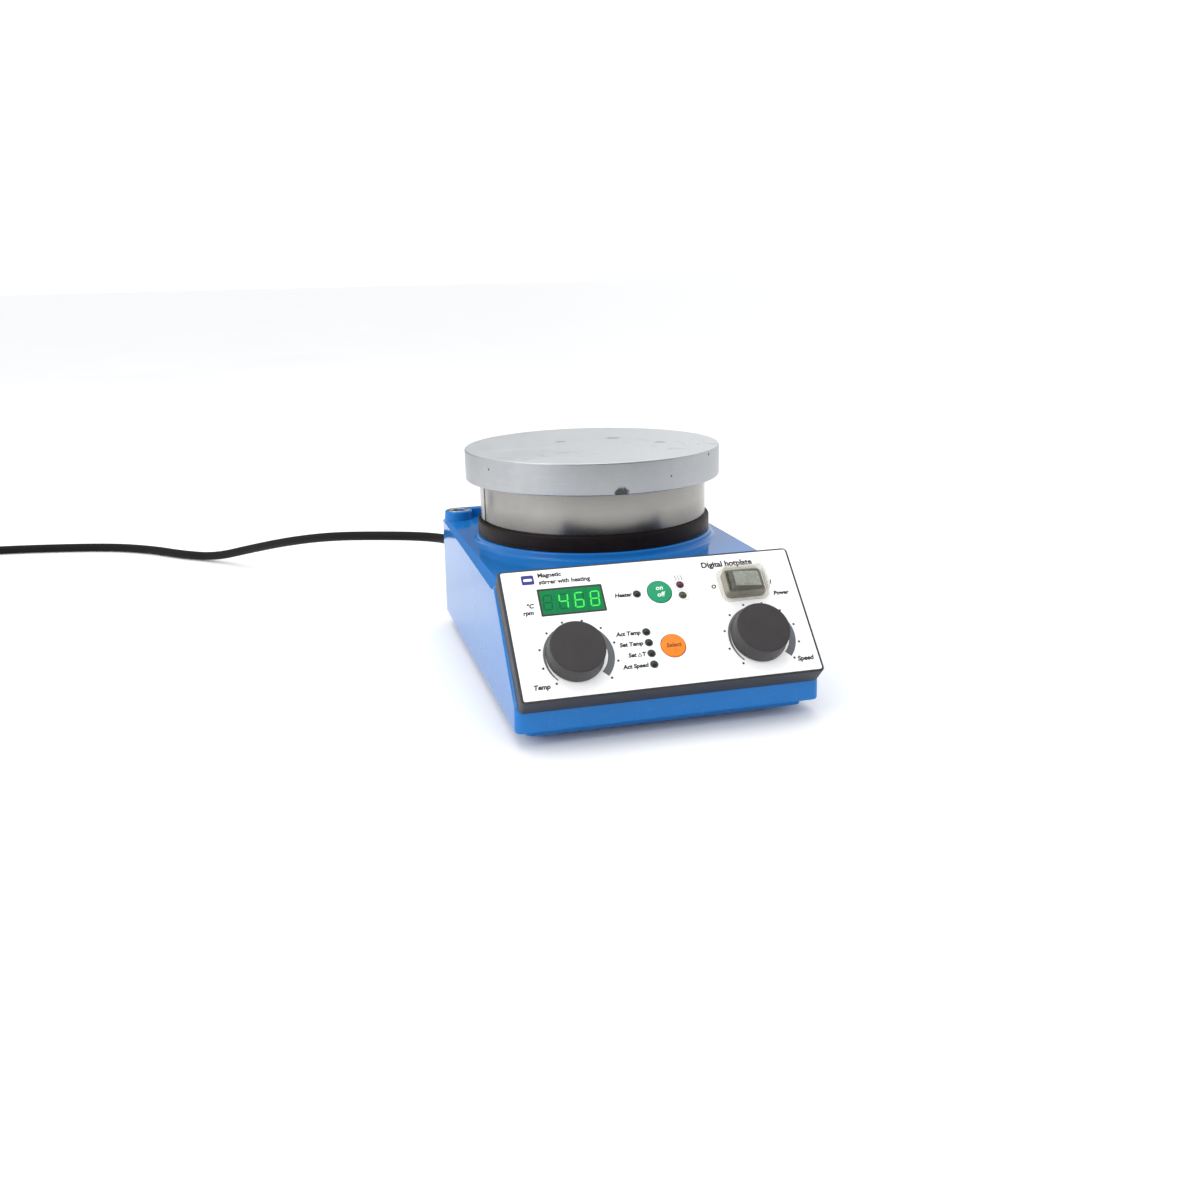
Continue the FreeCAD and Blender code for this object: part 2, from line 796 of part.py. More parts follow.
def make_display_window():
    """Filter pane over the digits, flush with the label."""
    pane = box(display_u - display_width / 2.0, display_u + display_width / 2.0,
               upper_row_v - display_height / 2.0, upper_row_v + display_height / 2.0,
               face_w - display_thickness, face_w + 0.1)
    return pane


def make_display_block():
    """Four seven-segment digits on the control board, behind the pane."""
    pitch = display_width / display_digits
    digits = []
    for index in range(display_digits):
        u = display_u - display_width / 2.0 + (index + 0.5) * pitch
        digits.append(box(u - pitch / 2.0 + 0.1, u + pitch / 2.0 - 0.1,
                          upper_row_v - display_height / 2.0 + 0.3,
                          upper_row_v + display_height / 2.0 - 0.3,
                          board_w + board_thickness, face_w - display_thickness - 0.1))
    return Part.makeCompound(digits)


def make_control_board():
    """Circuit board behind the bezel."""
    half = panel_half - board_margin - bezel_wall
    sheet = box(-half, half, board_margin, panel_length - board_margin,
                board_w, board_w + board_thickness)
    low = board_w - 1.0
    high = board_w + board_thickness + 1.0
    tools = [cyl(side * control_u, lower_row_v, low, high, bushing_radius) for side in (-1, 1)]
    tools += [cyl(u, v, low, high, small_screw_radius + screw_clearance)
              for u, v in board_post_places()]
    half_body = switch_body_width / 2.0 + board_cutout_gap
    half_body_v = switch_body_height / 2.0 + board_cutout_gap
    tools.append(box(control_u - half_body, control_u + half_body,
                     upper_row_v - half_body_v, upper_row_v + half_body_v, low, high))
    return sheet.cut(Part.makeCompound(tools))


def make_control_parts():
    """Chips and connector behind the control board, and the two push switches on it."""
    middle_v = panel_length / 2.0
    chip_low = board_w - chip_height
    chips = [box(-controller_from_middle, controller_width - controller_from_middle,
                 middle_v - controller_width / 2.0, middle_v + controller_width / 2.0,
                 chip_low, board_w)]
    chips.append(box(-driver_from_middle, driver_width - driver_from_middle,
                     middle_v - driver_depth / 2.0, middle_v + driver_depth / 2.0,
                     chip_low, board_w))
    ribbon_v = board_margin + ribbon_from_edge
    chips.append(box(-ribbon_from_middle, ribbon_width - ribbon_from_middle,
                     ribbon_v, ribbon_v + ribbon_depth, board_w - ribbon_height, board_w))
    top = board_w + board_thickness
    for u, v in key_places():
        case = box(u - push_case_half, u + push_case_half, v - push_case_half,
                   v + push_case_half, top, top + push_case_height)
        pin = cyl(u, v, top + push_case_height, top + push_switch_height, push_pin_radius)
        chips.append(joined([case, pin]))
    return Part.makeCompound(chips)


def make_small_screws():
    """Small screws: into the bezel's posts from both sides of the slant, and into the stand-offs."""
    screws = [screw(u, v, board_w, bezel_depth - bezel_wall - 1.5, small_screw_radius)
              for u, v in board_post_places()]
    screws += [screw(u, v, -housing_wall, bezel_depth - bezel_wall - 2.5, small_screw_radius)
               for u, v in bezel_screw_places()]
    screws = [on_panel(one) for one in screws]
    for x, y in board_corner_places():
        shank = cyl(x, y, pan_floor_top_z + 1.5, board_top_z, small_screw_radius)
        head = cyl(x, y, board_top_z, board_top_z + small_screw_radius * head_height_ratio,
                   small_screw_radius * head_to_shank)
        screws.append(joined([shank, head]))
    return Part.makeCompound(screws)


def make_led_lenses():
    """Seven domed indicator lenses."""
    lenses = []
    for u, v in led_places():
        straight = cyl(u, v, board_w + board_thickness, face_w + led_proud - led_radius / 2.0,
                       led_radius)
        dome = Part.makeSphere(led_radius, FreeCAD.Vector(u, v, face_w + led_proud - led_radius))
        lenses.append(joined([straight, dome]))
    return Part.makeCompound(lenses)


def make_key(place):
    """Round key: cap through the label, flange behind the bezel, stem over its switch."""
    u, v = place
    flange_top = bezel_depth - bezel_wall - 0.5
    flange_low = flange_top - key_flange
    stem_low = board_w + board_thickness + push_switch_height + key_travel + key_idle_gap
    cap = cyl(u, v, flange_top, face_w + key_proud, key_radius)
    rim = [edge for edge in cap.Edges if edge.BoundBox.ZMin > face_w]
    cap = cap.makeFillet(key_edge, rim)
    flange = cyl(u, v, flange_low, flange_top, key_radius + key_flange_width)
    stem = cyl(u, v, stem_low, flange_low, key_stem_radius)
    return joined([cap, flange, stem])


def make_potentiometers():
    """Two potentiometers under the board, with their threaded bushings through it."""
    return Part.makeCompound([potentiometer(side) for side in (-1, 1)])


def potentiometer(side):
    """One potentiometer: case, bushing and the bore for its shaft."""
    u = side * control_u
    case = cyl(u, lower_row_v, board_w - pot_depth, board_w, pot_radius)
    bushing = cyl(u, lower_row_v, board_w, board_w + board_thickness + bushing_length,
                  bushing_radius)
    bore = cyl(u, lower_row_v, board_w - pot_depth + pot_floor, bezel_depth,
               shaft_radius + shaft_clearance)
    return joined([case, bushing]).cut(bore)


def make_pot_nuts():
    """Hexagon nuts on the potentiometers' bushings."""
    nuts = []
    for side in (-1, 1):
        u = side * control_u
        top = board_w + board_thickness
        corners = []
        for index in range(hexagon + 1):
            angle = 2.0 * math.pi * index / hexagon
            corners.append(FreeCAD.Vector(u + pot_nut_radius * math.cos(angle),
                                          lower_row_v + pot_nut_radius * math.sin(angle), top))
        nut = Part.Face(Part.makePolygon(corners)).extrude(FreeCAD.Vector(0, 0, pot_nut_height))
        nuts.append(nut.cut(cyl(u, lower_row_v, top - 1.0, top + pot_nut_height + 1.0,
                                bushing_radius)))
    return Part.makeCompound(nuts)


def make_shaft(side):
    """Potentiometer's shaft, up into its knob."""
    return cyl(side * control_u, lower_row_v, board_w - pot_depth + pot_floor + shaft_end_gap,
               knob_face_w - knob_wall, shaft_radius)


def make_knob(side):
    """Turned knob, hollow underneath, with a hub on the shaft."""
    cavity_top = knob_face_w - knob_wall
    cavity_radius = knob_face_radius - knob_wall
    profile = [
        (shaft_radius, knob_base_w + knob_hub_recess),
        (knob_hub_radius, knob_base_w + knob_hub_recess),
        (knob_hub_radius, cavity_top),
        (cavity_radius, cavity_top),
        (cavity_radius, knob_base_w),
        (knob_base_radius, knob_base_w),
        (knob_face_radius, knob_face_w - knob_edge),
        (knob_face_radius - knob_edge, knob_face_w),
        (0.0, knob_face_w),
        (0.0, cavity_top),
        (shaft_radius, cavity_top),
    ]
    return turned(profile, side * control_u, lower_row_v)


def make_switch_frame():
    """Power switch's case, flange and terminals."""
    top = face_w + switch_flange_depth
    pivot_w = top - rocker_pivot_drop
    u = control_u
    v = upper_row_v
    flange = rounded_box(u - switch_flange_width / 2.0, u + switch_flange_width / 2.0,
                         v - switch_flange_height / 2.0, v + switch_flange_height / 2.0,
                         face_w, top, switch_flange_corner)
    rim = [edge for edge in flange.Edges if edge.BoundBox.ZMin > top - 0.001]
    flange = flange.makeChamfer(switch_flange_bevel, rim)
    half = switch_body_width / 2.0
    half_v = switch_body_height / 2.0
    low = top - switch_body_depth
    case = box(u - half, u + half, v - half_v, v + half_v, low, face_w)
    hollow = box(u - half + switch_wall, u + half - switch_wall,
                 v - rocker_half_height - rocker_side_gap,
                 v + rocker_half_height + rocker_side_gap,
                 pivot_w - switch_hollow_depth, top + 1.0)
    reach = rocker_half_height + rocker_pin_reach + pin_end_gap
    pin = Part.makeCylinder(rocker_pin_radius + shaft_clearance, 2.0 * reach,
                            FreeCAD.Vector(u, v - reach, pivot_w), FreeCAD.Vector(0, 1, 0))
    blades = []
    for side in (-1, 1):
        for end in (-1, 1):
            blade_u = u + side * blade_pitch_u / 2.0
            blade_v = v + end * blade_pitch_v / 2.0
            blades.append(box(blade_u - blade_width / 2.0, blade_u + blade_width / 2.0,
                              blade_v - blade_thickness / 2.0, blade_v + blade_thickness / 2.0,
                              low - blade_length, low))
    body = joined([flange, case] + blades)
    return body.cut(hollow).cut(pin)


def rocker_pivot():
    """Pivot of the power rocker in the panel's frame."""
    return FreeCAD.Vector(control_u, upper_row_v, face_w + switch_flange_depth - rocker_pivot_drop)


def make_switch_rocker():
    """Rocker on its pins, tipped to the on side."""
    pivot = rocker_pivot()
    top = face_w + switch_flange_depth + rocker_rise
    shoulder = face_w + switch_flange_depth + rocker_lift
    heel = pivot.z - rocker_heel
    half = rocker_half_width
    outline = [
        (-half, shoulder),
        (-half, top - rocker_edge),
        (-half + rocker_edge, top),
        (half - rocker_edge, top),
        (half, top - rocker_edge),
        (half, shoulder),
        (rocker_heel, heel),
        (-rocker_heel, heel),
    ]
    points = [FreeCAD.Vector(control_u + du, upper_row_v - rocker_half_height, w)
              for du, w in outline]
    face = Part.Face(Part.makePolygon(points + [points[0]]))
    body = face.extrude(FreeCAD.Vector(0, 2.0 * rocker_half_height, 0))
    reach = rocker_half_height + rocker_pin_reach
    pins = Part.makeCylinder(rocker_pin_radius, 2.0 * reach,
                             FreeCAD.Vector(pivot.x, pivot.y - reach, pivot.z),
                             FreeCAD.Vector(0, 1, 0))
    rocker = joined([body, pins])
    rocker.rotate(pivot, FreeCAD.Vector(0, 1, 0), rocker_angle)
    return rocker


def make_switch_boot():
    """Clear moulded boot over the power switch."""
    u = control_u
    v = upper_row_v
    foot = rounded_box(u - boot_width / 2.0, u + boot_width / 2.0,
                       v - boot_height / 2.0, v + boot_height / 2.0,
                       face_w, face_w + boot_foot, boot_foot_corner)
    top = face_w + switch_flange_depth + rocker_rise + boot_headroom + boot_wall
    half = switch_flange_width / 2.0 + boot_gap + boot_wall
    half_v = switch_flange_height / 2.0 + boot_gap + boot_wall
    outer = boot_form(half, half_v, face_w, top, boot_corner)
    inner = boot_form(half - boot_wall, half_v - boot_wall, face_w - 1.0, top - boot_wall,
                      boot_corner - boot_wall)
    rim = [edge for edge in outer.Edges if edge.BoundBox.ZMin > top - 0.001]
    outer = outer.makeFillet(boot_edge, rim)
    return joined([foot, outer]).cut(inner)


def boot_form(half_u, half_v, w0, w1, radius):
    """Tapered block about the power switch."""
    u = control_u
    v = upper_row_v
    low = rounded_wire(u - half_u, u + half_u, v - half_v, v + half_v, w0, radius)
    high = rounded_wire(u - half_u + boot_taper, u + half_u - boot_taper,
                        v - half_v + boot_taper, v + half_v - boot_taper, w1, radius)
    return Part.makeLoft([low, high], True, True)


# ---- Heating head ------------------------------------------------------------------------
def head_screw_places():
    """Centres of the three long screws that carry the heating head."""
    return [on_circle(head_screw_circle, degrees) for degrees in (90, 210, 330)]


def heater_lead_places():
    """Centres of the two leads up to the heating element, at the front of the head."""
    y = plate_y - stack_radius + lead_from_rim
    return [(-lead_spacing / 2.0, y), (lead_spacing / 2.0, y)]


def disc_with_holes(outer_radius, inner_radius, z0, z1):
    """Flat ring round the plate's axis, with holes for the long screws and the leads."""
    disc = cyl(0, plate_y, z0, z1, outer_radius)
    tools = [cyl(0, plate_y, z0 - 1.0, z1 + 1.0, inner_radius)]
    for x, y in head_screw_places():
        tools.append(cyl(x, y, z0 - 1.0, z1 + 1.0, head_screw_radius + screw_clearance))
    for x, y in heater_lead_places():
        tools.append(cyl(x, y, z0 - 1.0, z1 + 1.0, lead_radius + screw_clearance))
    return disc.cut(Part.makeCompound(tools))


def make_top_plate():
    """Machined plate with a recess underneath for the element."""
    profile = [
        (0.0, recess_top_z),
        (recess_radius, recess_top_z),
        (recess_radius, plate_bottom_z),
        (plate_radius - plate_edge / 2.0, plate_bottom_z),
        (plate_radius, plate_bottom_z + plate_edge / 2.0),
        (plate_radius, plate_top_z - plate_edge),
        (plate_radius - plate_edge, plate_top_z),
        (0.0, plate_top_z),
    ]
    plate = turned(profile, 0.0, plate_y)
    tools = [cyl(x, y, recess_top_z - 1.0, recess_top_z + plate_thread_depth, head_screw_radius)
             for x, y in head_screw_places()]
    tools.append(cyl(0, plate_y, recess_top_z - 1.0, recess_top_z + sensor_depth, sensor_radius))
    return plate.cut(Part.makeCompound(tools))


def make_heating_element():
    """Flat ring element under the plate; its leads end under it."""
    element = cyl(0, plate_y, element_z, recess_top_z, stack_radius)
    tools = [cyl(0, plate_y, element_z - 1.0, recess_top_z + 1.0, element_hole_radius)]
    for x, y in head_screw_places():
        tools.append(cyl(x, y, element_z - 1.0, recess_top_z + 1.0,
                         head_screw_radius + screw_clearance))
    return element.cut(Part.makeCompound(tools))


def make_skirt():
    """Stainless skirt between the collar and the plate, with a lapped seam."""
    inner = skirt_radius - skirt_wall
    profile = [
        (inner - skirt_flange, collar_top_z),
        (skirt_radius, collar_top_z),
        (skirt_radius, plate_bottom_z),
        (skirt_radius - skirt_flange, plate_bottom_z),
        (skirt_radius - skirt_flange, plate_bottom_z - skirt_wall),
        (inner, plate_bottom_z - skirt_wall),
        (inner, collar_top_z + skirt_wall),
        (inner - skirt_flange, collar_top_z + skirt_wall),
    ]
    tube = turned(profile, 0.0, plate_y)
    seam_low = collar_top_z + ring_height + seam_lift
    height = plate_bottom_z - seam_drop - seam_low
    start = FreeCAD.Vector(0, plate_y, seam_low)
    up = FreeCAD.Vector(0, 0, 1)
    lap = Part.makeCylinder(skirt_radius + seam_thickness, height, start, up, seam_width_deg)
    lap = lap.cut(Part.makeCylinder(skirt_radius - seam_bite, height, start, up))
    lap.rotate(start, up, seam_at_deg - seam_width_deg)
    return joined([tube, lap])


def make_seal_ring():
    """Rubber ring round the foot of the skirt."""
    top = collar_top_z + ring_height
    profile = [
        (skirt_radius, collar_top_z),
        (ring_radius - ring_foot_step, collar_top_z),
        (ring_radius, collar_top_z + ring_edge),
        (ring_radius, top - ring_edge),
        (ring_radius - ring_top_step, top),
        (skirt_radius, top),
    ]
    return turned(profile, 0.0, plate_y)


def make_head_posts():
    """Three tubes that hold the head off the housing."""
    posts = []
    for x, y in head_screw_places():
        tube = cyl(x, y, housing_top_z, shield_z, post_radius)
        posts.append(tube.cut(cyl(x, y, housing_top_z - 1.0, shield_z + 1.0,
                                  head_screw_radius + screw_clearance)))
    return Part.makeCompound(posts)


def make_head_screws():
    """Three long screws from under the housing's top into the plate."""
    screws = [screw(x, y, ceiling_z, recess_top_z + plate_thread_grip, head_screw_radius)
              for x, y in head_screw_places()]
    return Part.makeCompound(screws)


def make_heater_leads():
    """Leads from the power board to the terminal block and on up to the element."""
    leads = [cyl(x, y, ceiling_z, element_z, lead_radius) for x, y in heater_lead_places()]
    leads += [cyl(x, y - lead_offset, board_top_z, ceiling_z - terminal_depth, lead_radius)
              for x, y in heater_lead_places()]
    return Part.makeCompound(leads)


def make_terminal_block():
    """Ceramic block under the housing's top, where the heater's leads end."""
    x0, y = heater_lead_places()[0]
    x1 = heater_lead_places()[1][0]
    return box(x0 - terminal_side, x1 + terminal_side, y - terminal_front, y + terminal_back,
               ceiling_z - terminal_depth, ceiling_z)


# ---- Drive -------------------------------------------------------------------------------
def make_motor_can():
    """Motor's drawn can with its top bearing boss."""
    boss_top = bracket_z + motor_boss_height
    seat_z = boss_top - bearing_width
    profile = [
        (motor_shaft_radius + shaft_opening, boss_top),
        (motor_boss_radius, boss_top),
        (motor_boss_radius, bracket_z),
        (motor_radius, bracket_z),
        (motor_radius, motor_bottom_z),
        (motor_radius - motor_wall, motor_bottom_z),
        (motor_radius - motor_wall, bracket_z - motor_wall),
        (bearing_radius + bearing_wall, bracket_z - motor_wall),
        (bearing_radius + bearing_wall, seat_z - bearing_shoulder),
        (bearing_radius, seat_z - bearing_shoulder),
        (bearing_radius, boss_top - bearing_shoulder),
        (motor_shaft_radius + shaft_opening, boss_top - bearing_shoulder),
    ]
    return turned(profile, 0.0, plate_y)


def make_motor_end_cap():
    """Motor's lower end, with the lower bearing's seat."""
    low = motor_bottom_z - end_cap_thickness
    cap = cyl(0, plate_y, low, motor_bottom_z, motor_radius)
    boss_top = motor_bottom_z + lower_boss_height
    boss = cyl(0, plate_y, motor_bottom_z, boss_top, bearing_radius + lower_boss_wall)
    seat = cyl(0, plate_y, boss_top - bearing_width, boss_top + 1.0, bearing_radius)
    well = cyl(0, plate_y, low + end_cap_floor, motor_bottom_z,
               motor_shaft_radius + shaft_well_gap)
    return joined([cap, boss]).cut(seat).cut(well)


def make_motor_bearings():
    """Two ball bearings, each as its rings and filling."""
    upper_z = bracket_z + motor_boss_height - bearing_shoulder - bearing_width
    lower_z = motor_bottom_z + lower_boss_height - bearing_width
    bearings = []
    for z in (upper_z, lower_z):
        ring = cyl(0, plate_y, z, z + bearing_width, bearing_radius)
        bearings.append(ring.cut(cyl(0, plate_y, z - 1.0, z + bearing_width + 1.0,
                                     motor_shaft_radius + bearing_clearance)))
    return Part.makeCompound(bearings)


def bracket_screw_places():
    """Centres of the three screws that hold the motor's bracket."""
    return [on_circle(bracket_screw_circle, degrees) for degrees in (30, 150, 270)]


def make_motor_bracket():
    """Plate under the housing's top that carries the motor."""
    disc = cyl(0, plate_y, bracket_z, ceiling_z, bracket_radius)
    tools = [cyl(0, plate_y, bracket_z - 1.0, ceiling_z + 1.0, motor_boss_radius)]
    for x, y in bracket_screw_places():
        tools.append(cyl(x, y, bracket_z - 1.0, ceiling_z + 1.0,
                         base_screw_radius + screw_clearance))
    return disc.cut(Part.makeCompound(tools))


def core_low_z():
    """Underside of the stator's and the rotor's cores."""
    return motor_bottom_z + core_rise


def make_stator():
    """Stator: its core, and the end turns of its winding below and above."""
    return Part.makeCompound([stator_core()] + stator_windings())


def stator_core():
    """Laminated ring round the rotor, with six pole slots."""
    low = core_low_z()
    ring = cyl(0, plate_y, low, low + rotor_height, motor_radius - motor_wall)
    tools = [cyl(0, plate_y, low - 1.0, low + rotor_height + 1.0, rotor_radius + air_gap)]
    for index in range(pole_slots):
        x, y = on_circle(rotor_radius + air_gap + pole_slot_depth, index * 360.0 / pole_slots)
        tools.append(cyl(x, y, low - 1.0, low + rotor_height + 1.0, pole_slot_radius))
    return ring.cut(Part.makeCompound(tools))


def stator_windings():
    """End turns of the stator's winding, below and above its core."""
    low = core_low_z()
    rings = []
    for z in (low - winding_height, low + rotor_height):
        ring = cyl(0, plate_y, z, z + winding_height, motor_radius - motor_wall - winding_inset)
        rings.append(ring.cut(cyl(0, plate_y, z - 1.0, z + winding_height + 1.0,
                                  rotor_radius + winding_bore_gap)))
    return rings


def make_rotor_core():
    """Rotor on the motor's shaft."""
    low = core_low_z()
    core = cyl(0, plate_y, low, low + rotor_height, rotor_radius)
    return core.cut(cyl(0, plate_y, low - 1.0, low + rotor_height + 1.0, motor_shaft_radius))


def make_motor_shaft():
    """Shaft through both bearings and up to the magnet carrier."""
    return cyl(0, plate_y, motor_bottom_z - end_cap_thickness + shaft_end_rise,
               magnet_z + carrier_hub_rise, motor_shaft_radius)


def make_magnet_carrier():
    """Steel bar with a hub that carries the two drive magnets."""
    half = magnet_circle + magnet_length / 2.0 + carrier_margin
    bar = rounded_box(-half, half, plate_y - magnet_width / 2.0, plate_y + magnet_width / 2.0,
                      magnet_z - carrier_thickness, magnet_z, carrier_corner)
    hub_top = magnet_z + carrier_hub_rise
    hub = cyl(0, plate_y, hub_top - carrier_hub_height, hub_top, carrier_hub_radius)
    bore = cyl(0, plate_y, magnet_z - carrier_hub_height, hub_top + 1.0, motor_shaft_radius)
    return joined([bar, hub]).cut(bore)


def make_drive_magnets():
    """Two block magnets on the carrier."""
    magnets = []
    for side in (-1, 1):
        x = side * magnet_circle
        magnets.append(box(x - magnet_length / 2.0, x + magnet_length / 2.0,
                           plate_y - magnet_width / 2.0 + magnet_inset,
                           plate_y + magnet_width / 2.0 - magnet_inset, magnet_z, magnet_top_z))
    return Part.makeCompound(magnets)


# ---- Power electronics -------------------------------------------------------------------
def board_corner_places():
    """Centres of the power board's stand-offs."""
    x = power_board_width / 2.0 - standoff_from_edge
    front = front_y + power_board_from_front + standoff_from_edge
    back = front + power_board_depth - 2.0 * standoff_from_edge
    return [(side * x, y) for side in (-1, 1) for y in (front, back)]


def make_power_board():
    """Power supply board on the pan's floor."""
    front = front_y + power_board_from_front
    sheet = box(-power_board_width / 2.0, power_board_width / 2.0, front,
                front + power_board_depth, board_top_z - board_thickness, board_top_z)
    tools = [cyl(x, y, board_top_z - 3.0, board_top_z + 1.0,
                 small_screw_radius + screw_clearance) for x, y in board_corner_places()]
    return sheet.cut(Part.makeCompound(tools))


def make_board_standoffs():
    """Four tubular stand-offs under the power board."""
    posts = []
    for x, y in board_corner_places():
        post = cyl(x, y, pan_floor_top_z, board_top_z - board_thickness, standoff_radius)
        posts.append(post.cut(cyl(x, y, pan_floor_top_z + 1.0, board_top_z,
                                  small_screw_radius)))
    return Part.makeCompound(posts)


def transformer_corner():
    """Front left corner of the transformer."""
    return (-power_board_width / 2.0 + transformer_from_side,
            front_y + power_board_from_front + transformer_from_board)


def make_transformer():
    """Transformer: its laminated core, and its bobbin and winding as a second solid."""
    return Part.makeCompound([transformer_core(), transformer_coil()])


def transformer_core():
    """Transformer's laminated core: a frame round its winding."""
    x, y = transformer_corner()
    low = board_top_z + transformer_foot
    core = box(x, x + transformer_width, y + core_limb, y + transformer_depth - core_limb, low,
               low + transformer_height)
    window = box(x + core_limb, x + transformer_width - core_limb, y, y + transformer_depth,
                 low + core_yoke, low + transformer_height - core_yoke)
    return core.cut(window)


def transformer_coil():
    """Transformer's bobbin and winding, on feet on the board."""
    x, y = transformer_corner()
    low = board_top_z + transformer_foot
    coil_low = low + core_yoke
    coil = rounded_box(x + core_limb, x + transformer_width - core_limb, y,
                       y + transformer_depth, coil_low, low + transformer_height - core_yoke,
                       coil_corner)
    far_x = x + transformer_width - coil_leg_inset - coil_leg
    far_y = y + transformer_depth - coil_leg_margin - coil_leg
    legs = [box(leg_x, leg_x + coil_leg, leg_y, leg_y + coil_leg, board_top_z, coil_low)
            for leg_x, leg_y in ((x + coil_leg_inset, y + coil_leg_margin), (far_x, far_y))]
    return joined([coil] + legs)


def make_board_parts():
    """Three smoothing capacitors, and the relay that cuts the heater's supply."""
    front = front_y + power_board_from_front
    cans = []
    for index in range(capacitor_count):
        can = cyl(capacitor_x + index * capacitor_pitch, front + capacitor_from_board,
                  board_top_z, board_top_z + capacitor_height, capacitor_radius)
        cans.append(can)
    relay_y = front + relay_from_board
    relay = box(relay_x, relay_x + relay_width, relay_y, relay_y + relay_depth,
                board_top_z, board_top_z + relay_height)
    return Part.makeCompound(cans + [relay])


def make_heat_sink():
    """Finned sink at the right of the power board, and the heater's triac on its back."""
    right = power_board_width / 2.0 - sink_from_side
    back = front_y + power_board_from_front + power_board_depth - sink_from_back
    plate_front = back - sink_plate
    plate = box(right - sink_width, right, plate_front, back, board_top_z,
                board_top_z + sink_height)
    fins = []
    pitch = (sink_width - fin_thickness) / (fin_count - 1)
    for index in range(fin_count):
        x = right - sink_width + index * pitch
        fins.append(box(x, x + fin_thickness, plate_front - fin_height, plate_front,
                        board_top_z + sink_fin_foot, board_top_z + sink_height))
    middle = right - sink_width / 2.0
    triac = box(middle - triac_width / 2.0, middle + triac_width / 2.0, back,
                back + triac_depth, board_top_z + triac_low, board_top_z + triac_high)
    return Part.makeCompound([joined([plate] + fins), triac])


# ---- Rear fittings and mains lead --------------------------------------------------------
def make_sensor_socket():
    """Round socket for an outside temperature probe, in the back wall."""
    inner = cyl_y(socket_x, fitting_z, back_y - housing_wall - sensor_socket_depth, back_y,
                  sensor_socket_radius)
    flange = cyl_y(socket_x, fitting_z, back_y, back_y + rear_overhang - 1.0,
                   sensor_flange_radius)
    tools = []
    for index in range(sensor_pin_count):
        angle = math.radians(sensor_pin_angle * index)
        tools.append(cyl_y(socket_x + sensor_pin_circle * math.cos(angle),
                           fitting_z - sensor_pin_circle * math.sin(angle),
                           back_y - sensor_pin_depth, back_y + rear_overhang,
                           sensor_pin_radius))
    return joined([inner, flange]).cut(Part.makeCompound(tools))


def make_fuse_holder():
    """Fuse holder's body and flange in the back wall."""
    inner = cyl_y(fuse_x, fitting_z, back_y - fuse_holder_depth, back_y, fuse_radius)
    flange = cyl_y(fuse_x, fitting_z, back_y, back_y + fuse_flange_depth, fuse_flange_radius)
    bore = cyl_y(fuse_x, fitting_z, back_y - fuse_bore_depth, back_y + fuse_flange_depth + 1.0,
                 fuse_radius - fuse_wall)
    return joined([inner, flange]).cut(bore)


def make_fuse_cap():
    """Screwed cap of the fuse holder, with a screwdriver slot."""
    flange_face = back_y + fuse_flange_depth
    stem = cyl_y(fuse_x, fitting_z, back_y - fuse_stem_depth, flange_face,
                 fuse_radius - fuse_wall - fuse_stem_gap)
    head = cyl_y(fuse_x, fitting_z, flange_face, back_y + rear_overhang, fuse_radius)
    slot = box(fuse_x - fuse_slot_width / 2.0, fuse_x + fuse_slot_width / 2.0,
               back_y + rear_overhang - fuse_slot_depth, back_y + rear_overhang + 1.0,
               fitting_z - fuse_slot_half, fitting_z + fuse_slot_half)
    return joined([stem, head]).cut(slot)


def make_cord_gland():
    """Threaded gland through the back wall, with its inner nut."""
    inside_y = back_y - housing_wall
    thread = cyl_y(gland_x, fitting_z, inside_y - gland_thread_length, back_y,
                   gland_thread_radius)
    nut = cyl_y(gland_x, fitting_z, inside_y - gland_nut_height, inside_y, gland_radius)
    body = cyl_y(gland_x, fitting_z, back_y, back_y + gland_length, gland_radius)
    rim = [edge for edge in body.Edges if edge.BoundBox.YMin > back_y + gland_length - 0.001]
    body = body.makeFillet(gland_edge, rim)
    return joined([thread, nut, body])


def make_strain_relief():
    """Tapered rubber sleeve behind the gland; the lead leaves its tip."""
    start = back_y + gland_length
    return cone_y(gland_x, fitting_z, start, start + relief_length, relief_base_radius,
                  relief_tip_radius)


def route_tube(points, label):
    """Round lead along straight runs joined by tangent arcs; prints each arc's radius."""
    places = [FreeCAD.Vector(*point) for point in points]
    edges = []
    radii = []
    last = places[0]
    for index in range(1, len(places) - 1):
        before = places[index - 1] - places[index]
        after = places[index + 1] - places[index]
        turn = math.pi - before.getAngle(after)
        setback = 0.45 * min(before.Length, after.Length)
        radii.append(setback / math.tan(turn / 2.0))
        toward = FreeCAD.Vector(before).normalize()
        onward = FreeCAD.Vector(after).normalize()
        arc_start = places[index] + toward * setback
        arc_end = places[index] + onward * setback
        middle = FreeCAD.Vector(toward + onward).normalize()
        rise = radii[-1] * (1.0 / math.cos(turn / 2.0) - 1.0)
        edges.append(Part.LineSegment(last, arc_start).toShape())
        edges.append(Part.Arc(arc_start, places[index] + middle * rise, arc_end).toShape())
        last = arc_end
    edges.append(Part.LineSegment(last, places[-1]).toShape())
    path = Part.Wire(edges)
    heading = places[1] - places[0]
    rim = Part.Wire(Part.makeCircle(cord_diameter / 2.0, places[0], heading))
    tube = path.makePipeShell([rim], True, False)
    expected = math.pi * (cord_diameter / 2.0) ** 2 * path.Length
    print(label, "length", round(path.Length, 1), "radii", [round(value) for value in radii],
          "volume ratio", round(tube.Volume / expected, 4))
    return tube


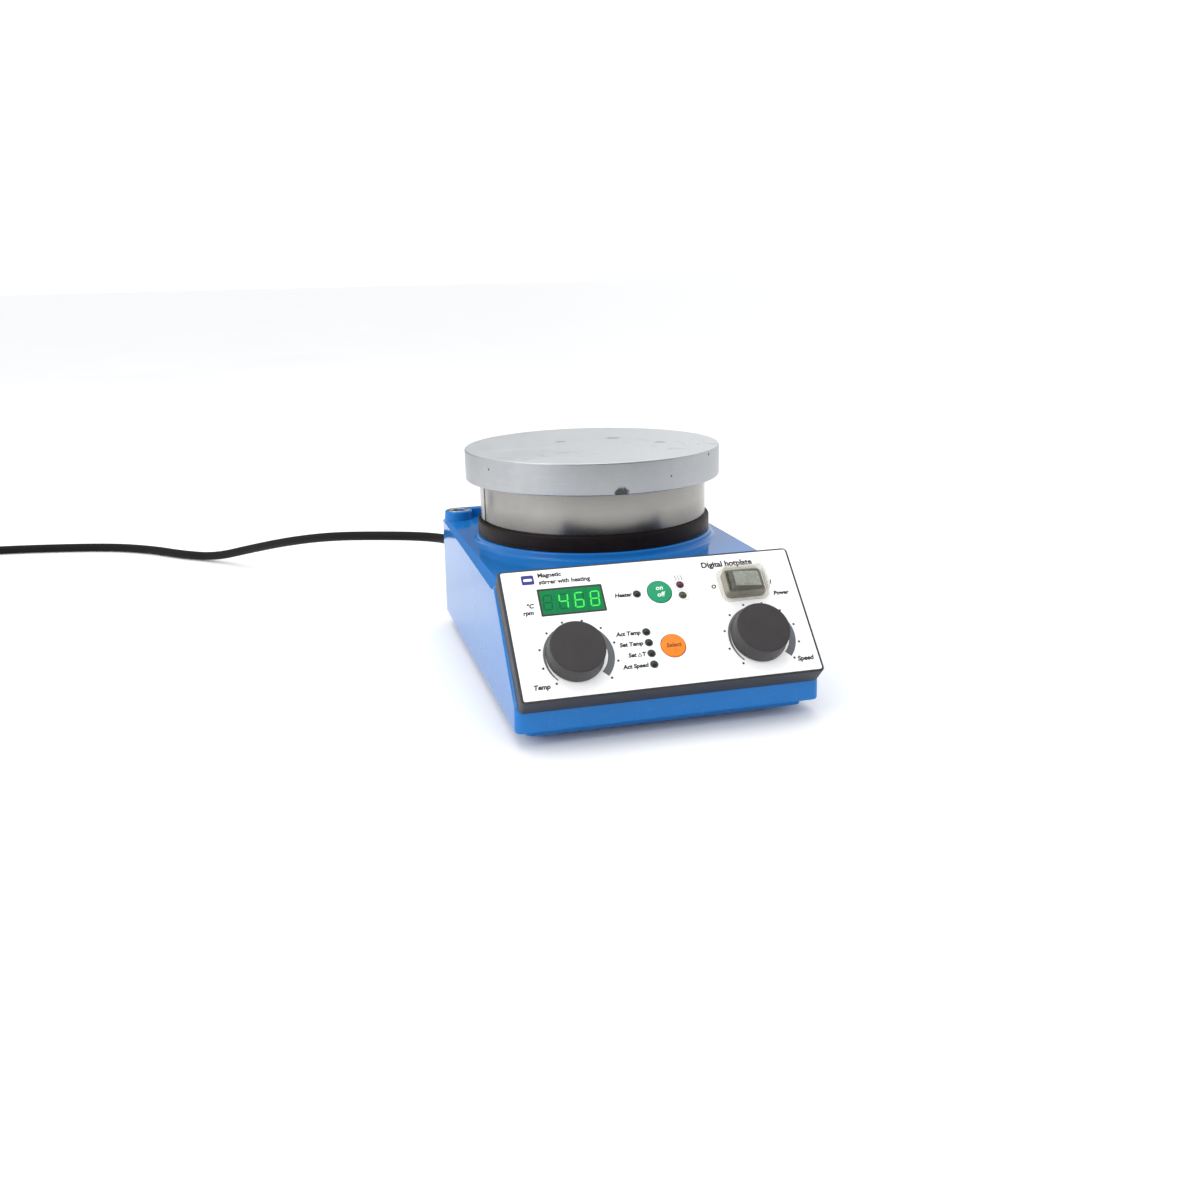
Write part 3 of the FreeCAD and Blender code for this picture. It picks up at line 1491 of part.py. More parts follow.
def make_cord_coil():
    """Outer shape of the wound lead: a flat ring two layers high."""
    build_up = cord_diameter * coil_turns / 4.0
    outer = coil_mean_radius + build_up + cord_diameter / 2.0
    inner = coil_mean_radius - build_up - cord_diameter / 2.0
    x, y = coil_centre
    ring = cyl(x, y, 0.0, 2.0 * cord_diameter, outer)
    print("coil length", round(2.0 * math.pi * coil_mean_radius * coil_turns, 1))
    return ring.cut(cyl(x, y, -1.0, 2.0 * cord_diameter + 1.0, inner))


def make_mains_plug():
    """Round plug body lying on its side, with its own short relief."""
    x, y, z = tail_route[-1]
    relief_end = y + plug_relief_length
    body_end = relief_end + plug_body_length
    relief = cone_y(x, z, y, relief_end, relief_tip_radius, relief_base_radius + 1.5)
    grip = cone_y(x, z, relief_end, relief_end + plug_body_length * 0.55, 11.0, plug_radius)
    face = cyl_y(x, z, relief_end + plug_body_length * 0.55, body_end, plug_radius)
    rim = [edge for edge in face.Edges if edge.BoundBox.YMin > body_end - 0.001]
    face = face.makeFillet(1.2, rim)
    return joined([relief, grip, face])


def make_plug_pins():
    """Two round pins in the plug's face."""
    x, y, z = tail_route[-1]
    body_end = y + plug_relief_length + plug_body_length
    pins = []
    for side in (-1, 1):
        pin = cyl_y(x + side * pin_spacing / 2.0, z, body_end, body_end + pin_length, pin_radius)
        tip = [edge for edge in pin.Edges if edge.BoundBox.YMin > body_end + pin_length - 0.001]
        pins.append(pin.makeFillet(1.2, tip))
    return Part.makeCompound(pins)


def make_all():
    """Build every node and write its file."""
    os.makedirs("parts", exist_ok=True)
    save("upper_housing", make_upper_housing())
    save("base_pan", make_base_pan())
    save("rubber_feet", make_feet())
    save("housing_screws", make_housing_screws())
    save("rod_socket", make_rod_socket())

    panel_nodes = {
        "front_bezel": make_front_bezel(),
        "panel_label": make_panel_label(),
        "display_window": make_display_window(),
        "display_block": make_display_block(),
        "control_board": make_control_board(),
        "control_parts": make_control_parts(),
        "led_lenses": make_led_lenses(),
        "heater_key": make_key(key_places()[0]),
        "select_key": make_key(key_places()[1]),
        "potentiometers": make_potentiometers(),
        "pot_nuts": make_pot_nuts(),
        "temp_shaft": make_shaft(-1),
        "speed_shaft": make_shaft(1),
        "temp_knob": make_knob(-1),
        "speed_knob": make_knob(1),
        "switch_frame": make_switch_frame(),
        "switch_rocker": make_switch_rocker(),
        "switch_boot": make_switch_boot(),
    }
    for name, shape in panel_nodes.items():
        save(name, on_panel(shape))

    save("top_plate", make_top_plate())
    save("heating_element", make_heating_element())
    save("clamp_plate", disc_with_holes(stack_radius, clamp_hole_radius, clamp_z, element_z))
    save("insulation_disc", disc_with_holes(stack_radius, insulation_hole_radius, insulation_z,
                                            clamp_z))
    save("heat_shield", disc_with_holes(stack_radius, sensor_radius + 1.0, shield_z, insulation_z))
    save("plate_sensor", cyl(0, plate_y, insulation_z, recess_top_z + sensor_depth, sensor_radius))
    save("skirt", make_skirt())
    save("seal_ring", make_seal_ring())
    save("head_posts", make_head_posts())
    save("head_screws", make_head_screws())
    save("heater_leads", make_heater_leads())
    save("terminal_block", make_terminal_block())

    save("motor_can", make_motor_can())
    save("motor_end_cap", make_motor_end_cap())
    save("motor_bearings", make_motor_bearings())
    save("motor_bracket", make_motor_bracket())
    save("stator", make_stator())
    save("rotor_core", make_rotor_core())
    save("motor_shaft", make_motor_shaft())
    save("magnet_carrier", make_magnet_carrier())
    save("drive_magnets", make_drive_magnets())

    save("power_board", make_power_board())
    save("board_standoffs", make_board_standoffs())
    save("small_screws", make_small_screws())
    save("transformer", make_transformer())
    save("board_parts", make_board_parts())
    save("heat_sink", make_heat_sink())

    save("sensor_socket", make_sensor_socket())
    save("fuse_holder", make_fuse_holder())
    save("fuse_cap", make_fuse_cap())
    save("cord_gland", make_cord_gland())
    save("strain_relief", make_strain_relief())
    save("cord_lead", route_tube(lead_route, "lead"))
    save("cord_coil", make_cord_coil())
    save("cord_tail", route_tube(tail_route, "tail"))
    save("mains_plug", make_mains_plug())
    save("plug_pins", make_plug_pins())


def print_places():
    """Print the joints' and mounts' places, in metres."""
    spots = {
        "temp_knob": (-control_u, lower_row_v, 0.0),
        "speed_knob": (control_u, lower_row_v, 0.0),
        "heater_key": (key_u, upper_row_v, 0.0),
        "select_key": (key_u, lower_row_v, 0.0),
        "rocker_pivot": tuple(rocker_pivot()),
    }
    for name, spot in spots.items():
        point = on_panel(Part.Vertex(*spot)).Vertexes[0].Point
        print(name, [round(value / 1000.0, 6) for value in point])
    print("panel normal", [0.0, round(-sin_tilt, 6), round(cos_tilt, 6)],
          "up the slant", [0.0, round(cos_tilt, 6), round(sin_tilt, 6)])
    print("plate axis y", round(plate_y / 1000.0, 6), "back y", round(back_y / 1000.0, 6),
          "front overhang", round(front_overhang, 3), "relief tip y", round(relief_tip_y, 3))
    print("rod socket", round(boss_x, 3), round(boss_y, 3), "top", boss_top_z + 0.2)


make_all()
print_places()
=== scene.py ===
import json
import math

import bmesh
import bpy
import numpy as np
from mathutils import Matrix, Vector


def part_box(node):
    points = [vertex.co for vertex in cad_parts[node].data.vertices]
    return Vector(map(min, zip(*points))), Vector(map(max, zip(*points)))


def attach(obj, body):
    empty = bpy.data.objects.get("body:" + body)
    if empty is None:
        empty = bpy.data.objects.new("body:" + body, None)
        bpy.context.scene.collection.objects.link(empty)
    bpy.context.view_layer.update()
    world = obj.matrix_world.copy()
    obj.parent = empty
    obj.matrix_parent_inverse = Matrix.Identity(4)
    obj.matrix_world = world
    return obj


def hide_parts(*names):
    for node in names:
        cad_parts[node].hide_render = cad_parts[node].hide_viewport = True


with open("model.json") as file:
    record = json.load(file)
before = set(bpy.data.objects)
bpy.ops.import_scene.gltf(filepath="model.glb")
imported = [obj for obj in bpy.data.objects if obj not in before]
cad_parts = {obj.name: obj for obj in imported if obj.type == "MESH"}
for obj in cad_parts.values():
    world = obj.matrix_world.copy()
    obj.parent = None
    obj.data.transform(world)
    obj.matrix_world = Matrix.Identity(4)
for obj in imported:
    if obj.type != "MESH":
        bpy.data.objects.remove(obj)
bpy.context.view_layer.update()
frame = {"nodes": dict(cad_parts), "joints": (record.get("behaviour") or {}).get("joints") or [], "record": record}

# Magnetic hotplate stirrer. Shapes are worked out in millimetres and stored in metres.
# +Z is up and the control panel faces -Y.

MM = 0.001


# ---- Places read from the frame ------------------------------------------------------------
def cad(node):
    """Lowest and highest corner of a CAD node, in millimetres."""
    low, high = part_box(node)
    return np.array(low) / MM, np.array(high) / MM


joints = {joint["name"]: joint for joint in frame["joints"]}
housing_low, housing_high = cad("upper_housing")
plate_low, plate_high = cad("top_plate")
skirt_low = cad("skirt")[0]
ring_low, ring_high = cad("seal_ring")
plate_y = (plate_low[1] + plate_high[1]) / 2.0
plate_radius = (plate_high[0] - plate_low[0]) / 2.0
skirt_radius = 64.5
front_y, back_y = housing_low[1], housing_high[1]
housing_depth = back_y - front_y
housing_middle = (front_y + back_y) / 2.0
housing_corner = 4.0
deck_z = 69.0
lip_z = 19.7
half_width = housing_high[0]
side_draft = 0.8

panel_out = np.array(joints["temp_turn"]["axis"])
panel_up = np.array([0.0, panel_out[2], -panel_out[1]])
dial_left = np.array(joints["temp_turn"]["pos_m"]) / MM
dial_right = np.array(joints["speed_turn"]["pos_m"]) / MM
dial_u = dial_right[0]
dial_v = 22.0
panel_origin = (dial_left + dial_right) / 2.0 - dial_v * panel_up
panel_half = 76.0
panel_length = 71.5
upper_v = panel_length - 19.4
bezel_w = 10.6
face_w = 11.0
key_u = 2.6
slant = panel_up[2] / panel_up[1]
crease_y = front_y + (deck_z - lip_z) / slant
key_radius = 6.1
key_opening = 6.45
dial_opening = 3.6
lens_radius = 1.6
lens_opening = 1.85
lens_u = -9.1
lens_pitch = 5.87
alarm_u = 14.0
alarm_rise = 3.0


def on_panel(points):
    """Points (u across, v up the slant, w out of it) put in their place on the slanted front."""
    across = np.array([1.0, 0.0, 0.0])
    return panel_origin + points @ np.stack([across, panel_up, panel_out])


def on_plate_axis(points):
    """Points about the plate's axis put in their place."""
    return points + np.array([0.0, plate_y, 0.0])


# ---- Surfaces ------------------------------------------------------------------------------
def grid_faces(rows, columns, closed_rows=False):
    """Quads between neighbouring points of a grid whose columns join round."""
    last = rows if closed_rows else rows - 1
    row, column = np.meshgrid(np.arange(last), np.arange(columns), indexing="ij")
    after = (column + 1) % columns
    above = (row + 1) % rows
    quads = [row * columns + column, row * columns + after,
             above * columns + after, above * columns + column]
    return np.stack(quads, -1).reshape(-1, 4).tolist()


def rounded(corners, cuts, steps=6):
    """Polyline with each corner replaced by a parabola.

    The parabola starts and ends at its cut's distance from the corner, along the two runs, and
    is the quadratic curve (1-t)^2 A + 2t(1-t) P + t^2 B with the corner P as its middle point.
    """
    corner = np.array(corners, float)
    cut = np.array(cuts, float)[:, None]
    before = np.roll(corner, 1, 0) - corner
    after = np.roll(corner, -1, 0) - corner
    start = corner + cut * before / np.maximum(np.linalg.norm(before, axis=1), 1e-9)[:, None]
    end = corner + cut * after / np.maximum(np.linalg.norm(after, axis=1), 1e-9)[:, None]
    t = np.linspace(0.0, 1.0, steps)[None, :, None]
    curve = ((1 - t) ** 2 * start[:, None] + 2 * t * (1 - t) * corner[:, None]
             + t ** 2 * end[:, None])
    return curve.reshape(-1, corner.shape[1])


def turned(profile, steps=128):
    """Surface of revolution: (radius r, height z) goes to (r cos a, r sin a, z)."""
    profile = np.array(profile, float)
    angle = np.linspace(0.0, 2.0 * np.pi, steps, endpoint=False)
    radius, height = profile[:, :1], profile[:, 1:]
    points = np.stack([radius * np.cos(angle), radius * np.sin(angle), height + 0 * angle], -1)
    return points.reshape(-1, 3), grid_faces(len(profile), steps)


def carried(profile, half_x, half_y, corner, steps=8, closed=False, bottom=True, top=True):
    """Rounded rectangle carried along a profile of (inset, height).

    Each ring is the rectangle moved in by its inset, with its corner radius less that inset.
    """
    profile = np.array(profile, float)
    quarter = np.repeat(np.arange(4), steps + 1)
    angle = (quarter + np.tile(np.linspace(0.0, 1.0, steps + 1), 4)) * np.pi / 2.0
    sign_x = np.array([1, -1, -1, 1])[quarter]
    sign_y = np.array([1, 1, -1, -1])[quarter]
    inset, height = profile[:, :1], profile[:, 1:]
    radius = np.maximum(corner - inset, 0.05)
    x = sign_x * (half_x - inset - radius) + radius * np.cos(angle)
    y = sign_y * (half_y - inset - radius) + radius * np.sin(angle)
    points = np.stack([x, y, height + 0 * x], -1).reshape(-1, 3)
    columns = len(angle)
    faces = grid_faces(len(profile), columns, closed)
    if not closed and bottom:
        faces.append(list(range(columns))[::-1])
    if not closed and top:
        faces.append(list(range((len(profile) - 1) * columns, len(profile) * columns)))
    return points, faces


def moved(shape, x=0.0, y=0.0, z=0.0):
    """The shape shifted by (x, y, z)."""
    return shape[0] + np.array([x, y, z]), shape[1]


def together(shapes):
    """One shape from several, with the later faces counted on from the earlier points."""
    points = np.concatenate([shape[0] for shape in shapes])
    starts = np.cumsum([0] + [len(shape[0]) for shape in shapes])
    faces = [[index + start for index in face]
             for start, shape in zip(starts.tolist(), shapes) for face in shape[1]]
    return points, faces


def from_curve(curve, low, high):
    """A flat curve filled and given its thickness, as points and faces."""
    curve.extrude = (high - low) / 2.0
    holder = bpy.data.objects.new("holder", curve)
    mesh = bpy.data.meshes.new_from_object(holder)
    points = np.zeros(len(mesh.vertices) * 3)
    mesh.vertices.foreach_get("co", points)
    points = points.reshape(-1, 3)
    faces = [list(polygon.vertices) for polygon in mesh.polygons]
    bpy.data.objects.remove(holder)
    bpy.data.meshes.remove(mesh)
    bpy.data.curves.remove(curve)
    return points + np.array([0.0, 0.0, (low + high) / 2.0]), faces


def sheet_of(outlines, low, high):
    """Flat sheet inside the first outline and outside the others, from height low to high."""
    curve = bpy.data.curves.new("outline", "CURVE")
    curve.dimensions = "2D"
    curve.fill_mode = "BOTH"
    for outline in outlines:
        spline = curve.splines.new("POLY")
        spline.points.add(len(outline) - 1)
        flat = np.column_stack([outline, np.zeros(len(outline)), np.ones(len(outline))])
        spline.points.foreach_set("co", flat.ravel())
        spline.use_cyclic_u = True
    return from_curve(curve, low, high)


def letters(words, u, v, size, low, high, align="CENTER", lean=0.18, weight=0.0):
    """Words as a thin raised print, with their middle line at (u, v)."""
    curve = bpy.data.curves.new("words", "FONT")
    curve.body = words
    curve.size = size
    curve.align_x = align
    curve.align_y = "CENTER"
    curve.shear = lean
    curve.offset = weight
    curve.resolution_u = 3
    return moved(from_curve(curve, low, high), u, v)


def ring_points(radius, u=0.0, v=0.0, steps=48):
    """Circle as an outline."""
    angle = np.linspace(0.0, 2.0 * np.pi, steps, endpoint=False)
    return np.column_stack([u + radius * np.cos(angle), v + radius * np.sin(angle)])


def rect_points(half_u, half_v, corner, u=0.0, v=0.0, steps=6):
    """Rounded rectangle as an outline."""
    points = carried([(0.0, 0.0)], half_u, half_v, corner, steps)[0]
    return points[:, :2] + np.array([u, v])


def piece(name, shape, body, slot, place=None, stands_for=(), finish=None, sharp=35.0):
    """Object made from points and faces, merged, turned outwards and put on its body."""
    points, faces = shape
    if place is not None:
        points = place(points)
    mesh = bpy.data.meshes.new(name)
    mesh.from_pydata((points * MM).tolist(), [], faces)
    work = bmesh.new()
    work.from_mesh(mesh)
    bmesh.ops.remove_doubles(work, verts=work.verts, dist=1e-6)
    bmesh.ops.recalc_face_normals(work, faces=work.faces)
    work.to_mesh(mesh)
    work.free()
    mesh.polygons.foreach_set("use_smooth", np.ones(len(mesh.polygons), bool))
    mesh.set_sharp_from_angle(angle=math.radians(sharp))
    mesh.materials.append(finish or finishes[slot])
    made = bpy.data.objects.new(name, mesh)
    bpy.context.scene.collection.objects.link(made)
    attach(made, body)
    if stands_for:
        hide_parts(*stands_for)
    return made


# ---- Camera --------------------------------------------------------------------------------
def make_camera():
    """Camera in front, a little to the left and above, looking down at the panel."""
    place = (-0.17199, -0.62575, 0.21753)
    yaw, pitch, roll = (math.radians(angle) for angle in (14.889, 15.484, -1.281))
    ahead = np.array([math.sin(yaw) * math.cos(pitch), math.cos(yaw) * math.cos(pitch),
                      -math.sin(pitch)])
    level = np.array([math.cos(yaw), -math.sin(yaw), 0.0])
    over = np.cross(level, ahead)
    right = math.cos(roll) * level + math.sin(roll) * over
    up = math.cos(roll) * over - math.sin(roll) * level
    lens = bpy.data.cameras.new("camera")
    lens.lens = 35.69
    lens.sensor_width = 36.0
    lens.clip_start = 0.01
    camera = bpy.data.objects.new("camera", lens)
    bpy.context.scene.collection.objects.link(camera)
    camera.matrix_world = Matrix([[right[i], up[i], -ahead[i], place[i]] for i in range(3)]
                                 + [[0.0, 0.0, 0.0, 1.0]])
    bpy.context.scene.camera = camera


make_camera()


# ---- Materials -----------------------------------------------------------------------------
def colour(value):
    """Colour with its alpha."""
    return (*value[:3], 1.0)


class Nodes:
    """Short way to add the nodes of one tree and to join them."""

    def __init__(self, tree):
        self.tree = tree

    def feed(self, socket, value):
        """Join value to the socket, or set it there."""
        if isinstance(value, bpy.types.NodeSocket):
            self.tree.links.new(value, socket)
        else:
            socket.default_value = value

    def add(self, kind, inputs=(), **settings):
        """New node with its settings; inputs maps socket names or numbers to values."""
        node = self.tree.nodes.new("ShaderNode" + kind)
        for key, value in settings.items():
            setattr(node, key, value)
        for key, value in dict(inputs).items():
            self.feed(node.inputs[key], value)
        return node

    def math(self, operation, *values):
        """Result of one Math node."""
        return self.add("Math", enumerate(values), operation=operation).outputs[0]

    def vector(self, operation, first, second):
        """Vector Math node."""
        return self.add("VectorMath", {0: first, 1: second}, operation=operation)

    def noise(self, vector, scale, detail=4.0, roughness=0.55):
        """Noise value at vector."""
        inputs = {"Vector": vector, "Scale": scale, "Detail": detail, "Roughness": roughness}
        return self.add("TexNoise", inputs).outputs[0]

    def span(self, value, low, high, to_low=0.0, to_high=1.0):
        """Value stretched from low..high to to_low..to_high and held there."""
        inputs = {"Value": value, "From Min": low, "From Max": high,
                  "To Min": to_low, "To Max": to_high}
        return self.add("MapRange", inputs).outputs[0]

    def mix(self, factor, first, second):
        """Mix of two colours."""
        node = self.add("Mix", {"Factor": factor}, data_type="RGBA")
        self.feed(node.inputs[6], first)
        self.feed(node.inputs[7], second)
        return node.outputs[2]


def new_group(name, inputs, outputs):
    """Empty shader node group: its nodes, its input node's sockets and its output node."""
    tree = bpy.data.node_groups.new(name, "ShaderNodeTree")
    for label, start in inputs:
        kind = "NodeSocketVector" if start is None else "NodeSocketFloat"
        socket = tree.interface.new_socket(label, in_out="INPUT", socket_type=kind)
        if start is not None:
            socket.default_value = start
    for label in outputs:
        tree.interface.new_socket(label, in_out="OUTPUT", socket_type="NodeSocketFloat")
    nodes = Nodes(tree)
    return nodes, tree.nodes.new("NodeGroupInput").outputs, tree.nodes.new("NodeGroupOutput")


def make_mottle_group():
    """Soft patches, 0 to 1: two sizes of noise, stretched about their middle value."""
    nodes, given, out = new_group("mottle", [("Vector", None), ("Scale", 20.0),
                                             ("Spread", 0.15)], ["Mask"])
    wide = nodes.noise(given["Vector"], given["Scale"], 5.0)
    small = nodes.noise(given["Vector"], nodes.math("MULTIPLY", given["Scale"], 4.7), 3.0)
    blend = nodes.math("ADD", nodes.math("MULTIPLY", wide, 0.65),
                       nodes.math("MULTIPLY", small, 0.35))
    low = nodes.math("SUBTRACT", 0.5, given["Spread"])
    high = nodes.math("ADD", 0.5, given["Spread"])
    nodes.feed(out.inputs["Mask"], nodes.span(blend, low, high))
    return nodes.tree


def make_speck_group():
    """Sparse small marks, 0 to 1: fine noise over a threshold, and only inside wide patches."""
    nodes, given, out = new_group("specks", [("Vector", None), ("Scale", 400.0),
                                             ("Cover", 0.3)], ["Mask"])
    fine = nodes.noise(given["Vector"], given["Scale"], 2.0, 0.6)
    wide = nodes.noise(given["Vector"], nodes.math("MULTIPLY", given["Scale"], 0.06), 3.0)
    limit = nodes.math("SUBTRACT", 0.78, nodes.math("MULTIPLY", given["Cover"], 0.3))
    edge = nodes.math("ADD", limit, 0.04)
    marks = nodes.span(fine, limit, edge)
    patch = nodes.span(wide, 0.42, 0.62)
    nodes.feed(out.inputs["Mask"], nodes.math("MULTIPLY", marks, patch))
    return nodes.tree


def make_turned_group():
    """Fine lines left by turning, 0 to 1.

    The noise is read at (cos a, sin a, radius less height), so it runs round the axis Z of the
    vector that it is given and changes quickly across that way.
    """
    nodes, given, out = new_group("turned_lines", [("Vector", None), ("Lines", 3000.0),
                                                   ("Waver", 4.0)], ["Mask", "Radius"])
    parts = nodes.add("SeparateXYZ", {0: given["Vector"]}).outputs
    square = nodes.math("ADD", nodes.math("MULTIPLY", parts[0], parts[0]),
                        nodes.math("MULTIPLY", parts[1], parts[1]))
    radius = nodes.math("SQRT", square)
    angle = nodes.math("ARCTAN2", parts[1], parts[0])
    across = nodes.math("MULTIPLY", nodes.math("SUBTRACT", radius, parts[2]), given["Lines"])
    round_x = nodes.math("MULTIPLY", nodes.math("COSINE", angle), given["Waver"])
    round_y = nodes.math("MULTIPLY", nodes.math("SINE", angle), given["Waver"])
    where = nodes.add("CombineXYZ", {0: round_x, 1: round_y, 2: across}).outputs[0]
    nodes.feed(out.inputs["Mask"], nodes.noise(where, 1.0, 5.0, 0.6))
    nodes.feed(out.inputs["Radius"], radius)
    return nodes.tree


mottle_group = make_mottle_group()
speck_group = make_speck_group()
turned_group = make_turned_group()


class Finish(Nodes):
    """One material: its nodes, its Principled shader and its object coordinates."""

    def __init__(self, name, **sockets):
        self.material = bpy.data.materials.new(name)
        self.material.use_nodes = True
        super().__init__(self.material.node_tree)
        self.shader = self.tree.nodes["Principled BSDF"]
        for key, value in sockets.items():
            self.set(key.replace("_", " "), value)
        self.where = self.add("TexCoord").outputs["Object"]

    def set(self, key, value):
        """Give the Principled shader's socket a value or a link."""
        self.feed(self.shader.inputs[key], value)

    def group(self, tree, **values):
        """Place a shared group and return its outputs."""
        node = self.tree.nodes.new("ShaderNodeGroup")
        node.node_tree = tree
        for key, value in values.items():
            self.feed(node.inputs[key], value)
        if "Vector" not in values:
            self.feed(node.inputs["Vector"], self.where)
        return node.outputs

    def bump(self, height, strength, depth):
        """Bump on the Normal socket, depth in metres."""
        node = self.add("Bump", {"Height": height, "Strength": strength, "Distance": depth})
        self.set("Normal", node.outputs[0])

    def spot(self, x, y, z, radius, ragged=0.0, scale=600.0):
        """1 inside a ragged-edged ball about a point in millimetres, 0 outside."""
        away = self.vector("DISTANCE", self.where, (x * MM, y * MM, z * MM)).outputs["Value"]
        rough = self.math("MULTIPLY", self.noise(self.where, scale, 3.0), ragged * MM)
        return self.span(self.math("ADD", away, rough), radius * MM * 0.8, radius * MM, 1.0, 0.0)

    def spots(self, places):
        """Largest of several spots; each place is x and y from the plate's axis, then the rest."""
        mask = self.spot(places[0][0], plate_y + places[0][1], *places[0][2:])
        for x, y, *rest in places[1:]:
            mask = self.math("MAXIMUM", mask, self.spot(x, plate_y + y, *rest))
        return mask


def plain(name, base, second, rough, scale=60.0, grain=1500.0, grain_depth=0.00002,
          specks=0.0, speck_colour=(0.5, 0.5, 0.5), **sockets):
    """Moulded, painted or cast finish.

    The colour drifts between base and second in soft patches, the roughness between its two
    values, fine grain gives the bump, and pale specks lie over it where specks is above 0.
    """
    made = Finish(name, **sockets)
    patches = made.group(mottle_group, Scale=scale, Spread=0.16)["Mask"]
    tint = made.mix(patches, colour(base), colour(second))
    if specks:
        marks = made.group(speck_group, Scale=grain * 0.5, Cover=specks)["Mask"]
        tint = made.mix(made.math("MULTIPLY", marks, 0.6), tint, colour(speck_colour))
    made.set("Base Color", tint)
    made.set("Roughness", made.span(patches, 0.0, 1.0, *rough))
    made.bump(made.noise(made.where, grain, 3.0), 0.35, grain_depth)
    return made.material


def bare_turned(name, centre=(0.0, 0.0, 0.0), lines=2500.0):
    """Metal finish with turning lines round an upright axis through centre, in millimetres.

    Gives the finish, its streaks and its soft patches, still without colour and roughness.
    """
    made = Finish(name, Metallic=1.0)
    shift = tuple(value * MM for value in centre)
    near = made.vector("SUBTRACT", made.where, shift).outputs[0]
    turning = made.group(turned_group, Vector=near, Lines=lines, Waver=3.0)
    patches = made.group(mottle_group, Scale=45.0, Spread=0.2)["Mask"]
    streaks = made.math("ADD", made.math("MULTIPLY", turning["Mask"], 0.6),
                        made.math("MULTIPLY", patches, 0.4))
    made.bump(turning["Mask"], 0.25, 0.00002)
    return made, streaks, patches


def turned_metal(name, base, second, rough):
    """Turned metal whose streaks run between two tones and two roughnesses."""
    made, streaks = bare_turned(name)[:2]
    made.set("Base Color", made.mix(streaks, colour(base), colour(second)))
    made.set("Roughness", made.span(streaks, 0.3, 0.7, *rough))
    return made.material


def make_plate_finish():
    """Machined aluminium, dulled by heat, with smudges on top and a chip at the rim; its top face is painted
    paler, painted light standing for the light from above.
    """
    made, streaks = bare_turned("plate_aluminium", (0.0, plate_y, 0.0), 2600.0)[:2]
    height = made.add("SeparateXYZ", {0: made.where}).outputs[2]
    top = made.span(height, (plate_high[2] - 0.4) * MM, (plate_high[2] - 0.05) * MM)
    marks = made.group(speck_group, Scale=160.0, Cover=0.62)["Mask"]
    tint = made.mix(streaks, colour((0.34, 0.35, 0.365)), colour((0.54, 0.55, 0.565)))
    # Painted light: the top face is mixed towards a pale colour to stand for the light falling on it from above.
    tint = made.mix(made.math("MULTIPLY", top, 0.8), tint, colour((0.74, 0.76, 0.77)))
    tint = made.mix(made.math("MULTIPLY", made.math("MULTIPLY", marks, top), 0.35), tint,
                    colour((0.30, 0.30, 0.31)))
    z_top = plate_high[2]
    z_low = plate_low[2]
    smudge = made.spots([(18.0, 18.6, z_top, 7.0, 5.0, 260.0), (38.2, -8.8, z_top, 6.0, 4.0, 200.0),
                         (-14.0, 16.0, z_top, 9.0, 11.0, 220.0)])
    tint = made.mix(made.math("MULTIPLY", smudge, 0.45), tint, colour((0.22, 0.21, 0.21)))
    dark = made.spots([(-3.3, -72.4, z_low + 0.4, 6.0, 3.4, 700.0),
                       (52.7, -49.8, z_top - 2.2, 0.9), (25.2, -68.0, z_low + 7.5, 0.6),
                       (-65.5, -31.1, z_low + 11.1, 0.7)])
    tint = made.mix(made.math("MULTIPLY", dark, 0.93), tint, colour((0.035, 0.03, 0.03)))
    made.set("Base Color", tint)
    made.set("Metallic", made.span(dark, 0.0, 1.0, 1.0, 0.1))
    rough = made.math("ADD", made.span(streaks, 0.3, 0.7, 0.36, 0.5),
                      made.math("MULTIPLY", top, 0.14))
    made.set("Roughness", made.math("ADD", rough, made.math("MULTIPLY", dark, 0.3)))
    return made.material


def make_skirt_finish():
    """Rolled stainless steel, warm grey, with soft stains, and painted shade darkening it towards the rubber ring
    at its foot.
    """
    made, streaks, patches = bare_turned("skirt_steel", (0.0, plate_y, 0.0), 5200.0)
    stain = made.group(mottle_group, Scale=26.0, Spread=0.08)["Mask"]
    tint = made.mix(patches, colour((0.30, 0.29, 0.275)), colour((0.36, 0.35, 0.335)))
    tint = made.mix(made.math("MULTIPLY", stain, 0.2), tint, colour((0.23, 0.22, 0.20)))
    height = made.add("SeparateXYZ", {0: made.where}).outputs[2]
    # Painted shade: the steel is darkened over the 10 mm above the rubber ring, where shade falls at the join.
    foot = made.span(height, (ring_high[2] + 1.0) * MM, (ring_high[2] + 11.0) * MM, 0.62, 0.0)
    tint = made.mix(foot, tint, colour((0.07, 0.068, 0.068)))
    made.set("Base Color", tint)
    made.set("Roughness", made.span(streaks, 0.3, 0.7, 0.18, 0.28))
    return made.material


def make_paint_finish():
    """Glossy blue enamel with an orange-peel ripple and a few dull dusty patches."""
    made = Finish("blue_paint", IOR=1.38, Specular_IOR_Level=0.4)
    patches = made.group(mottle_group, Scale=22.0, Spread=0.2)["Mask"]
    dust = made.group(speck_group, Scale=900.0, Cover=0.5)["Mask"]
    tint = made.mix(patches, colour((0.010, 0.150, 0.455)), colour((0.012, 0.165, 0.495)))
    tint = made.mix(made.math("MULTIPLY", dust, 0.08), tint, colour((0.35, 0.45, 0.6)))
    made.set("Base Color", tint)
    made.set("Roughness", made.span(patches, 0.0, 1.0, 0.09, 0.15))
    made.bump(made.noise(made.where, 420.0, 2.0), 0.08, 0.00004)
    return made.material


